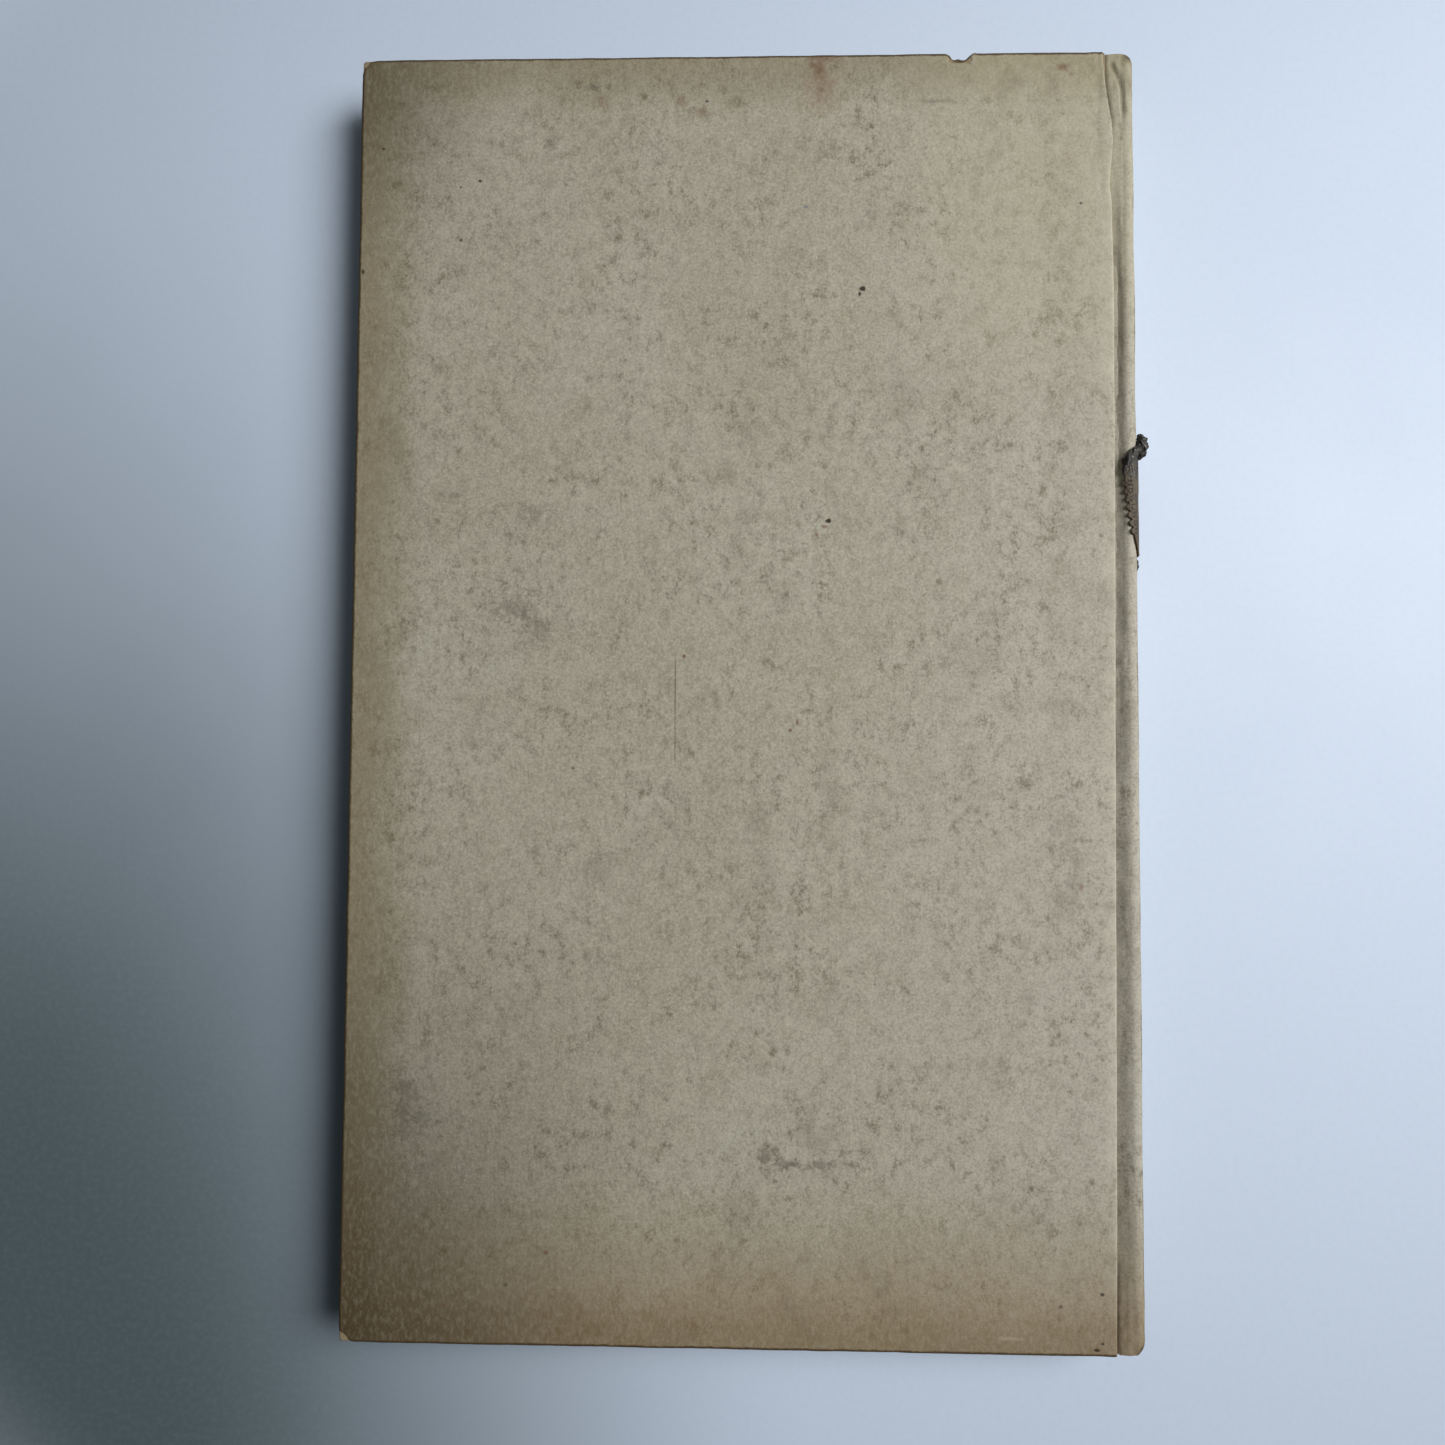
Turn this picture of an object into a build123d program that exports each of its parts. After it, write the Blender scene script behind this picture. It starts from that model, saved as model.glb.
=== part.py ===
from build123d import *
from dataclasses import dataclass
from math import cos, radians, sqrt
import os

# A slim sewn book in a paper-covered case, lying on its front cover: the back cover is
# up, the spine is at +X and the head at +Y. It is drawn about its mid-plane, with x = 0
# on the two hinge lines, and placed with its origin under the middle at the very end.

# The case, measured over the covering paper
cover_height = 229.0
cover_width = 140.0
board_thick = 2.2
cover_paper = 0.2
turn_in = 15.0
board_edge_round = 0.45
fore_corner_round = 0.8

# The sewn sections and what is pasted to them
leaves_thick = 6.0
section_count = 7
fold_depth = 0.15
square = 3.0
endpaper = 0.15
pastedown_margin = 3.0
mull_thick = 0.25
mull_flange = 25.0
mull_short = 16.0
lining_thick = 0.15
lining_short = 4.0

# The spine: rounded and backed, with a hollow back and a stiffening strip in the case
spine_bulge = 1.45
shoulder_rise = 1.15
shoulder_tip_round = 0.15
spine_round = 0.6
joint_curve = 2.15
inlay_thick = 0.6
inlay_lap = 0.3
hollow_gap = 0.45
crest_height = 5.3
crest_round = 1.5
crest_inset = 0.25

# The hinges: air between cover and leaves, and between the case's two bending edges
joint_width = 4.0
leaf_air = 0.1
hinge_air = 0.2

# Sewing, in grooves sawn across the folds
cord_diameter = 0.8
cord_spacing = 62.0
cord_count = 3
thread_diameter = 0.3
kettle_inset = 13.0
saw_depth = 0.9
stitch_air = 0.01
saw_width = 1.0

# Wear: the rubbed spine corners and the dent in the back cover's head edge
head_corner_round = 2.7
tail_corner_cut = 1.6
dent_from_hinge = 30.1
dent_width = 4.6
dent_depth = 1.7
dent_lean = 26.0

# The leather title label, pasted askew, with its upper end peeled and rolled
leather_thick = 0.35
label_tail = 23.8
label_head = 41.0
label_reach_head = 1.5
label_reach_tail = -1.2
scallop_pitch = 1.35
scallop_round = 0.55
scallop_count = 7
curl_round = 0.45
curl_air = 0.2
knob_round = 0.7
knob_length = 2.3

# Levels and lines worked out from the above
half_leaves = leaves_thick / 2
hinge_level = half_leaves + endpaper + leaf_air / 2
board_inside = half_leaves + endpaper + leaf_air + endpaper + mull_thick
board_outside = board_inside + board_thick
board_spine_edge = -(joint_width + cover_paper)
joint_edge = -(joint_width - hinge_air)
fore_edge = spine_bulge - cover_width
board_fore_edge = fore_edge + cover_paper
leaves_fore_edge = fore_edge + square
board_height = cover_height - 2 * cover_paper
leaves_height = cover_height - 2 * square
case_spine = spine_bulge - cover_paper
leaves_spine = case_spine - inlay_thick - hollow_gap - lining_thick - mull_thick


@dataclass
class Layer:
    """One skin of the spine's section: its bulge, its shoulder and its joint as tangent arcs."""

    bulge: float
    crest_x: float
    crest_z: float
    crest_r: float
    joint_r: float
    floor: float

    def grown(self, by):
        """The skin that lies the given thickness outside this one."""
        return Layer(
            self.bulge + by, self.crest_x, self.crest_z, self.crest_r + by, self.joint_r - by, self.floor + by
        )

    def spine_radius(self):
        """The radius of the spine's arc, which runs into the shoulder's arc without a corner."""
        reach = self.bulge - self.crest_x
        return (reach**2 + self.crest_z**2 - self.crest_r**2) / (2 * (reach - self.crest_r))


leaves = Layer(
    leaves_spine,
    leaves_spine - spine_round,
    half_leaves + shoulder_rise - shoulder_tip_round,
    shoulder_tip_round,
    joint_curve,
    half_leaves,
)
joint_stack = 2 * endpaper + mull_thick
mull_skin = Layer(
    leaves.bulge + mull_thick,
    leaves.crest_x,
    leaves.crest_z,
    leaves.crest_r + joint_stack,
    leaves.joint_r - joint_stack,
    leaves.floor + joint_stack,
)
case = Layer(
    case_spine,
    -crest_inset,
    crest_height - crest_round,
    crest_round - cover_paper,
    joint_curve - joint_stack,
    half_leaves + joint_stack,
)


def towards(start, end, distance):
    """The point that lies a distance from start on the way to end."""
    line = Vector(end[0] - start[0], end[1] - start[1]).normalized()
    return (start[0] + line.X * distance, start[1] + line.Y * distance)


def arc_about(centre, radius, start, end):
    """The shorter arc about a centre from the direction of start to that of end."""
    first = towards(centre, start, radius)
    last = towards(centre, end, radius)
    middle = towards(centre, ((first[0] + last[0]) / 2, (first[1] + last[1]) / 2), radius)
    return ThreePointArc(first, middle, last)


def folds(layer):
    """The folded backs of the sections, as shallow scallops along the spine's arc."""
    radius = layer.spine_radius()
    centre = (layer.bulge - radius, 0)
    top = towards(centre, (layer.crest_x, layer.crest_z), radius)
    swing = Vector(top[0] - centre[0], top[1]).get_angle(Vector(1, 0))
    step = 2 * swing / section_count

    def on_arc(radial, angle):
        point = Vector(radial, 0).rotate(Axis.Z, angle)
        return (point.X + centre[0], point.Y)

    valley = radius - fold_depth
    edges = [Line(on_arc(radius, swing), on_arc(valley, swing))]
    for index in range(section_count):
        start = swing - index * step
        ends = on_arc(valley, start), on_arc(valley, start - step)
        edges.append(ThreePointArc(ends[0], on_arc(radius, start - step / 2), ends[1]))
    edges.append(Line(on_arc(valley, -swing), on_arc(radius, -swing)))
    return edges


def section(layer, left, spine=None, fore=None):
    """The face inside a skin, right of a line, on the book's cross-section."""
    crest = (layer.crest_x, layer.crest_z)
    joint_z = layer.floor + layer.joint_r
    across = sqrt((layer.joint_r + layer.crest_r) ** 2 - (joint_z - layer.crest_z) ** 2)
    joint = (layer.crest_x - across, joint_z)
    radius = layer.spine_radius()
    centre = (layer.bulge - radius, 0)
    meets_spine = towards(centre, crest, radius)
    upper = [
        Line((left, layer.floor), (joint[0], layer.floor)),
        arc_about(joint, layer.joint_r, (joint[0], layer.floor), crest),
        arc_about(crest, layer.crest_r, joint, meets_spine),
    ]
    lower = [mirror(edge, Plane.XZ) for edge in upper]
    if spine is None:
        low = (meets_spine[0], -meets_spine[1])
        spine = [ThreePointArc(meets_spine, (layer.bulge, 0), low)]
    if fore is None:
        fore = [Line((left, layer.floor), (left, -layer.floor))]
    return make_face(upper + spine + lower + fore)


def run(face, height, centre=0.0):
    """Extrude a cross-section along the book's height."""
    solid = extrude(Plane.XZ * face, amount=height / 2, both=True)
    return Pos(0, centre, 0) * solid


def block(x0, x1, y0, y1, z0, z1):
    """A block between two corners."""
    return Pos((x0 + x1) / 2, (y0 + y1) / 2, (z0 + z1) / 2) * Box(x1 - x0, y1 - y0, z1 - z0)


def spine_side(left, right, half_depth):
    """Everything between two lines on the cross-section, down to a depth each side of the middle."""
    return block(left, right, -cover_height, cover_height, -half_depth, half_depth)


def flipped(solid):
    """The front cover's twin of a piece of the back cover."""
    return mirror(solid, Plane.XY)


def saw_cut(at, layer):
    """The groove sawn across the folds for one row of stitches."""
    radius = layer.spine_radius()
    ring = Cylinder(radius + 1, saw_width) - Cylinder(radius - saw_depth, saw_width)
    return Pos(layer.bulge - radius, at, 0) * Rot(X=90) * ring


def stitch_rows():
    """Where the cords and the kettle stitches cross the spine."""
    cords = [(index - (cord_count - 1) / 2) * cord_spacing for index in range(cord_count)]
    kettle = leaves_height / 2 - kettle_inset
    return cords, [-kettle, kettle]


def text_block():
    """The sewn sections, with hollowed fore-edge, backed shoulders and sawn-in grooves."""
    corner = (leaves_fore_edge, half_leaves)
    low_corner = (leaves_fore_edge, -half_leaves)
    fore = [ThreePointArc(corner, (leaves_fore_edge + spine_round, 0), low_corner)]
    solid = run(section(leaves, leaves_fore_edge, folds(leaves), fore), leaves_height)
    cords, kettles = stitch_rows()
    for row in cords + kettles:
        solid -= saw_cut(row, leaves)
    return solid


def sewing_cords():
    """Thin cords, laid in the sawn grooves round the spine's curve."""
    radius = leaves.spine_radius()
    centre = leaves.bulge - radius
    path_radius = radius - saw_depth + cord_diameter / 2
    swing = 2 * Vector(path_radius, 0).get_angle(Vector(path_radius, half_leaves))
    ring = revolve(Plane.XZ * Pos(path_radius, 0) * Circle(cord_diameter / 2), Axis.Z, swing)
    ring = Rot(X=90) * Rot(Z=-swing / 2) * ring
    cords, _ = stitch_rows()
    return [Pos(centre, row, 0) * ring for row in cords]


def kettle_stitches():
    """Loops of thread that link each section to the next near the head and the tail."""
    radius = leaves.spine_radius()
    centre = leaves.bulge - radius
    loop_reach = (saw_depth - fold_depth) / 2 - stitch_air
    loop = Rot(X=90) * Torus(loop_reach - thread_diameter / 2, thread_diameter / 2)
    reach = radius - saw_depth + stitch_air + loop_reach
    pitch = leaves_thick / section_count
    _, kettles = stitch_rows()
    loops = []
    for row in kettles:
        for index in range(section_count - 1):
            level = (index + 1) * pitch - half_leaves
            loops.append(Pos(centre + sqrt(reach**2 - level**2), row, level) * loop)
    return loops


def free_endpaper():
    """The free leaf, over the shoulder and folded back along the joint towards the board."""
    leaf = section(leaves.grown(endpaper), leaves_fore_edge) - section(leaves, leaves_fore_edge)
    folded = section(leaves.grown(2 * endpaper), joint_edge) - section(leaves.grown(endpaper), joint_edge)
    face_zone = block(fore_edge, leaves.crest_x, -cover_height, cover_height, half_leaves, cover_width)
    tip_zone = block(leaves.crest_x, cover_width, -cover_height, cover_height, leaves.crest_z, cover_width)
    return (run(leaf, leaves_height) + run(folded, leaves_height)) & (face_zone + tip_zone)


def mull():
    """The open-weave cloth glued over the folds and down into both joints."""
    face = section(mull_skin, joint_edge) - section(leaves, joint_edge)
    cloth = run(face, leaves_height - 2 * mull_short)
    return cloth - free_endpaper() - flipped(free_endpaper())


def spine_lining():
    """The paper strip pasted on the mull across the spine."""
    face = section(mull_skin.grown(lining_thick), joint_edge) - section(mull_skin, joint_edge)
    strip = run(face, leaves_height - 2 * lining_short)
    return strip & spine_side(leaves.crest_x, cover_width, half_leaves)


def spine_plan(inset):
    """The plan of the case's spine, rounded at the head and rubbed off at the tail."""
    width = cover_width - inset
    height = cover_height - 2 * inset
    plan = Pos(spine_bulge - inset - width / 2, 0) * Rectangle(width, height)
    head = plan.vertices().sort_by(Axis.X)[-2:].sort_by(Axis.Y)[-1]
    plan = fillet(head, head_corner_round - inset)
    tail = plan.vertices().group_by(Axis.Y)[0].sort_by(Axis.X)[-1]
    plan = chamfer(tail, tail_corner_cut)
    return extrude(plan, amount=cover_width, both=True)


def spine_inlay():
    """The stiff strip in the case's back."""
    face = section(case, joint_edge) - section(case.grown(-inlay_thick), joint_edge)
    strip = run(face, board_height) & spine_plan(cover_paper)
    return strip & spine_side(case.crest_x, cover_width, case.crest_z + inlay_lap)


def spine_cover_paper():
    """The covering paper round the spine and into both joints, turned in at head and tail."""
    outside = case.grown(cover_paper)
    inlay_inside = case.grown(-inlay_thick)
    joint_zone = spine_side(joint_edge, case.crest_x, cover_width)
    spine_zone = spine_side(case.crest_x, cover_width, cover_width)
    inlay_zone = spine_side(case.crest_x, cover_width, case.crest_z + inlay_lap)
    joint_hollow = run(section(case.grown(-cover_paper), joint_edge), 2 * cover_height) & joint_zone
    spine_hollow = run(section(inlay_inside.grown(-cover_paper), joint_edge), 2 * cover_height) & spine_zone
    sheet = run(section(outside, joint_edge), cover_height) & spine_plan(0)
    sheet -= run(section(case, joint_edge), board_height) & spine_plan(cover_paper)
    sheet -= joint_hollow + spine_hollow
    joint_lap = section(case, joint_edge) - section(case.grown(-cover_paper), joint_edge)
    spine_lap = section(inlay_inside, joint_edge) - section(inlay_inside.grown(-cover_paper), joint_edge)
    for end in (-1, 1):
        band = end * (cover_height - turn_in) / 2
        sheet += run(joint_lap, turn_in, band) & joint_zone
        sheet += run(spine_lap, turn_in, band) & inlay_zone & spine_plan(0)
    return sheet


def dent(grow):
    """The scoop pressed slantwise into the back cover's head edge, deepest at the outer face."""
    radius = ((dent_width / 2) ** 2 + dent_depth**2) / (2 * dent_depth)
    centre = cover_height / 2 - dent_depth + radius / cos(radians(dent_lean))
    scoop = Rot(X=dent_lean) * Cylinder(radius + grow, cover_width)
    return Pos(-dent_from_hinge, centre, board_outside + cover_paper) * scoop


def cover_slab(grow):
    """The board's block, grown on every side, with its corners and outer edges eased."""
    x0 = board_fore_edge - grow
    x1 = board_spine_edge + grow
    tall = board_height / 2 + grow
    slab = block(x0, x1, -tall, tall, board_inside - grow, board_outside + grow)
    corners = slab.edges().filter_by(Axis.Z).group_by(Axis.X)[0]
    slab = fillet(corners, fore_corner_round - cover_paper + grow)
    outer = slab.faces().sort_by(Axis.Z)[-1].edges()
    return fillet(outer, board_edge_round - cover_paper + grow)


def board(dented):
    """The binder's board of one cover."""
    slab = cover_slab(0)
    return slab - dent(cover_paper) if dented else slab


def window():
    """The space inside the board that the turn-ins leave bare."""
    x0 = fore_edge + turn_in
    tall = cover_height / 2 - turn_in
    return block(x0, cover_width, -tall, tall, -cover_width, board_inside)


def board_paper(dented):
    """The covering paper round the board, turned in on three sides."""
    outer = cover_slab(cover_paper)
    if dented:
        outer -= dent(0)
    return outer - board(dented) - window()


def mull_edge():
    """The mull's edge, pasted to the inside of the board."""
    x0 = board_spine_edge - mull_flange
    tall = leaves_height / 2 - mull_short
    return block(x0, board_spine_edge, -tall, tall, board_inside - mull_thick, board_inside)


def pastedown():
    """The half of the endpaper pasted to the board, stepping over turn-ins and mull."""
    x0 = fore_edge + pastedown_margin
    tall = cover_height / 2 - pastedown_margin
    bottom = board_inside - mull_thick - endpaper
    sheet = block(x0, board_spine_edge, -tall, tall, bottom, board_inside)
    inner_x0 = fore_edge + turn_in
    inner_x1 = board_spine_edge - mull_flange
    inner_tall = cover_height / 2 - turn_in
    raised = block(inner_x0, inner_x1, -inner_tall, inner_tall, bottom, board_inside)
    rim = sheet - raised
    rim -= block(x0, board_spine_edge, -tall, tall, board_inside - mull_thick, board_inside)
    e = endpaper
    hollow = block(inner_x0 + e, inner_x1 - e, e - inner_tall, inner_tall - e, bottom, board_inside - e)
    return rim + (raised - hollow)


def label_plan(side):
    """The label's outline seen from the back cover (side 1) or the front cover (side -1)."""
    head = -label_reach_head if side > 0 else -label_reach_tail
    tail = -label_reach_tail if side > 0 else -label_reach_head
    edge_head = (head, label_head)
    edge_tail = (tail, label_tail + 2 * scallop_pitch)
    points = [edge_head, edge_tail, (tail, label_tail), (cover_width, label_tail), (cover_width, label_head)]
    plan = make_face(Polyline(*points, close=True))
    slope = Vector(edge_tail[0] - edge_head[0], edge_tail[1] - edge_head[1])
    for index in range(scallop_count):
        at = Vector(*edge_head) + slope * ((index + 1.5) * scallop_pitch / slope.length)
        plan += Pos(at.X, at.Y) * Circle(scallop_round)
    return extrude(plan, amount=side * cover_width)


def label_curl():
    """The label's upper end, peeled off the shoulder and rolled up beside the spine."""
    over = crest_height + curl_round + curl_air
    points = [
        (-label_reach_head - curl_round, label_head - curl_round, over - crest_round / 2),
        (-crest_inset, label_head + 1.6, over + curl_air),
        (spine_bulge + curl_round, label_head + 3.0, over - crest_round + curl_air),
        (spine_bulge + knob_round + curl_air, label_head + 4.4, hinge_level - knob_round),
    ]
    path = FilletPolyline(*points, radius=curl_round * 1.6)
    roll = sweep(Plane(path @ 0, z_dir=path % 0) * Circle(curl_round), path)
    end = path @ 1
    knob = Pos(end.X + curl_air, end.Y, end.Z) * Rot(X=90) * Cylinder(knob_round, knob_length)
    knob = fillet(knob.edges().filter_by(GeomType.CIRCLE), knob_round * 0.6)
    return roll + knob


def spine_label():
    """The leather label, wrapped over the spine and the shoulders."""
    outside = case.grown(cover_paper)
    skin = section(outside.grown(leather_thick), joint_edge) - section(outside, joint_edge)
    tall = label_head - label_tail
    wrap = run(skin, tall, (label_head + label_tail) / 2)
    return (wrap & label_plan(1)) + (wrap & label_plan(-1)) + label_curl()


def cover_pieces(dented):
    """The pieces of one cover and of its hinge, drawn as the back cover's."""
    return {
        "board": board(dented),
        "cover_paper": board_paper(dented),
        "mull_flange": mull_edge(),
        "pastedown": pastedown(),
        "endpaper": free_endpaper(),
    }


def pieces():
    """Every piece of the book by name."""
    result = {
        "text_block": text_block(),
        "sewing_cords": Compound(sewing_cords()),
        "kettle_stitches": Compound(kettle_stitches()),
        "mull": mull(),
        "spine_lining": spine_lining(),
        "spine_inlay": spine_inlay(),
        "spine_cover_paper": spine_cover_paper(),
        "spine_label": spine_label(),
    }
    for name, solid in cover_pieces(True).items():
        result["back_" + name] = solid
    for name, solid in cover_pieces(False).items():
        result["front_" + name] = flipped(solid)
    return result


def main():
    """Stand the book on the floor with its origin under the middle, and write each piece."""
    os.makedirs("parts", exist_ok=True)
    solids = pieces()
    box = Compound(list(solids.values())).bounding_box()
    middle = box.center()
    place = Pos(-middle.X, -middle.Y, -box.min.Z)
    for name, solid in solids.items():
        export_step(place * solid, "parts/" + name + ".step")
    lift = -box.min.Z
    print("size", [round(value, 4) for value in box.size])
    print("hinges at x", round(-middle.X, 4), "z", round(lift - hinge_level, 4), round(lift + hinge_level, 4))
    print("cover faces at z 0 and", round(lift + board_outside + cover_paper, 4))


main()
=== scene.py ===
import math

import bpy
import numpy as np
from mathutils import Matrix, Vector


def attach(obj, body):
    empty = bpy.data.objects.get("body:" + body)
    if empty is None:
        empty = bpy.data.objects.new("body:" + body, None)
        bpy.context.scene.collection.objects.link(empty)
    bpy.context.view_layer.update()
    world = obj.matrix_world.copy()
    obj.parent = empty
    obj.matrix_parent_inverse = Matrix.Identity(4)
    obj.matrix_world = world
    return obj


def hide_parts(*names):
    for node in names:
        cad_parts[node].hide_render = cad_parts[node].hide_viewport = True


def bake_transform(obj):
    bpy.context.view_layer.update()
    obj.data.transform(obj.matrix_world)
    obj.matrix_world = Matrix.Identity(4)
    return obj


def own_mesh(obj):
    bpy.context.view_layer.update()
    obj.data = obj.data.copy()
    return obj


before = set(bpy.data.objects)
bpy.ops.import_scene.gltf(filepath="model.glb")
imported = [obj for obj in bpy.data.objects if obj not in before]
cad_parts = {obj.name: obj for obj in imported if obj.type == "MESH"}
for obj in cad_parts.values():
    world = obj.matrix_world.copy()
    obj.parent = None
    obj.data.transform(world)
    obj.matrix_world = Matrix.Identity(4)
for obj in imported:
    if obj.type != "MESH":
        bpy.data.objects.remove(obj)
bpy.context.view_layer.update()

# The book's section is drawn in millimetres about its mid-plane, with x = 0 on the hinge
# lines, as in the part's source. These two put it in the row frame.
# FACE is the level of the covers' outer faces, BOARD_UNDER that of their turned-in inner faces.
HINGE_X = 67.65
MID_Z = 6.05
HALF_TALL = 114.5
FORE_EDGE = -138.55
FACE = 6.05
BOARD_UNDER = 3.45
SPINE_BULGE = 1.45
LEAVES = 6.0
LEAVES_TALL = 223.0
LEAF_COUNT = 56
LEAVES_FORE = -135.55
ENDPAPER = 0.15
TURN_IN = 15.0
MULL_EDGE = 25.0


def to_frame(points):
    """Millimetres about the hinge lines to metres in the row frame."""
    return (np.asarray(points, float) + np.array([HINGE_X, 0.0, MID_Z])) / 1000.0


# Smooth noise and ramps for shaping


def lattice(ix, iy, seed):
    """A repeatable random value for each lattice point."""
    value = np.sin(ix * 127.1 + iy * 311.7 + seed * 74.7) * 43758.5453
    return value - np.floor(value)


def ripple(x, y, size, seed):
    """Smooth noise from -1 to 1 whose bumps are about size wide."""
    u, v = np.asarray(x, float) / size, np.asarray(y, float) / size
    iu, iv = np.floor(u), np.floor(v)
    fu, fv = u - iu, v - iv
    fu, fv = fu * fu * (3 - 2 * fu), fv * fv * (3 - 2 * fv)
    low = lattice(iu, iv, seed) * (1 - fu) + lattice(iu + 1, iv, seed) * fu
    high = lattice(iu, iv + 1, seed) * (1 - fu) + lattice(iu + 1, iv + 1, seed) * fu
    return (low * (1 - fv) + high * fv) * 2 - 1


def run(along, size, seed):
    """The same noise along one line only."""
    return ripple(along, along * 0, size, seed)


def ease(value, start, end):
    """0 at start, 1 at end, and smooth between."""
    t = np.clip((np.asarray(value, float) - start) / (end - start), 0, 1)
    return t * t * (3 - 2 * t)


# The skins of the spine's section


def skin(bulge, crest_x, crest_z, crest_r, joint_r, floor, steps):
    """Points and outward normals from the middle of the spine over the shoulder to the joint's floor."""
    reach = bulge - crest_x
    radius = (reach**2 + crest_z**2 - crest_r**2) / (2 * (reach - crest_r))
    centre = bulge - radius
    swing = math.atan2(crest_z, crest_x - centre)
    joint_z = floor + joint_r
    across = math.sqrt((joint_r + crest_r) ** 2 - (joint_z - crest_z) ** 2)
    joint_x = crest_x - across
    lean = math.atan2(joint_z - crest_z, -across)
    points, normals = [], []
    for angle in np.linspace(0, swing, steps[0], endpoint=False):
        points.append((centre + radius * math.cos(angle), radius * math.sin(angle)))
        normals.append((math.cos(angle), math.sin(angle)))
    for angle in np.linspace(swing, lean, steps[1], endpoint=False):
        points.append((crest_x + crest_r * math.cos(angle), crest_z + crest_r * math.sin(angle)))
        normals.append((math.cos(angle), math.sin(angle)))
    for angle in np.linspace(lean - math.pi, -math.pi / 2, steps[2]):
        points.append((joint_x + joint_r * math.cos(angle), joint_z + joint_r * math.sin(angle)))
        normals.append((-math.cos(angle), -math.sin(angle)))
    return np.array(points), np.array(normals)


def case_skin(by, steps=(12, 12, 10)):
    """The case's outer face, or a skin the given distance outside it."""
    return skin(SPINE_BULGE + by, -0.25, 3.8, 1.5 + by, 1.4 - by, 3.75 + by, steps)


def leaves_skin(by, steps=(10, 8, 10)):
    """The sewn leaves' outer face, or a skin the given distance outside it."""
    return skin(-0.2 + by, -0.8, 4.0, 0.15 + by, 2.15 - by, 3.0 + by, steps)


# Mesh building


def mesh_object(name, points, faces, attributes=None, material=None, smooth=True):
    """A mesh object at the origin, from points in metres."""
    mesh = bpy.data.meshes.new(name)
    mesh.from_pydata([tuple(p) for p in points], [], [tuple(int(i) for i in f) for f in faces])
    for key, values in (attributes or {}).items():
        layer = mesh.attributes.new(key, "FLOAT", "POINT")
        layer.data.foreach_set("value", np.asarray(values, np.float32).ravel())
    mesh.polygons.foreach_set("use_smooth", [smooth] * len(mesh.polygons))
    mesh.update()
    made = bpy.data.objects.new(name, mesh)
    bpy.context.scene.collection.objects.link(made)
    if material:
        mesh.materials.append(material)
    return made


def grid_faces(rows, columns, first=0):
    """The quads of a grid of points stored row by row."""
    r, c = np.meshgrid(np.arange(rows - 1), np.arange(columns - 1), indexing="ij")
    a = first + r * columns + c
    return np.stack([a, a + 1, a + columns + 1, a + columns], -1).reshape(-1, 4)


def slab_faces(rows, columns):
    """The faces of a closed slab: an upper grid, a lower grid stored after it, and the rim."""
    count = rows * columns
    index = np.arange(count).reshape(rows, columns)
    rim = np.concatenate([index[0, :-1], index[:-1, -1], index[-1, :0:-1], index[:0:-1, 0]])
    following = np.roll(rim, -1)
    sides = np.stack([following, rim, rim + count, following + count], -1)
    return np.concatenate([grid_faces(rows, columns), grid_faces(rows, columns, count)[:, ::-1], sides])


def grid_normals(points):
    """Normals of a grid of points, to the left of its rows seen along its columns."""
    along = np.gradient(points, axis=0)
    across = np.gradient(points, axis=1)
    normal = np.cross(across, along)
    return normal / np.maximum(np.linalg.norm(normal, axis=-1, keepdims=True), 1e-9)


def thick_sheet(name, middle, thickness, material, attributes=None):
    """A closed sheet about a grid of middle points, in millimetres."""
    half = grid_normals(middle) * thickness / 2
    points = np.concatenate([(middle + half).reshape(-1, 3), (middle - half).reshape(-1, 3)])
    values = {k: np.concatenate([v.ravel(), v.ravel()]) for k, v in (attributes or {}).items()}
    return mesh_object(name, to_frame(points), slab_faces(*middle.shape[:2]), values, material)


def section_grid(x, z, rows):
    """The grid of places of a section's points, repeated at each row up the book."""
    grid_x, grid_y = np.meshgrid(x, rows)
    return grid_x, grid_y, np.broadcast_to(z, grid_x.shape).copy()


# Node tree helpers


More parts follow.
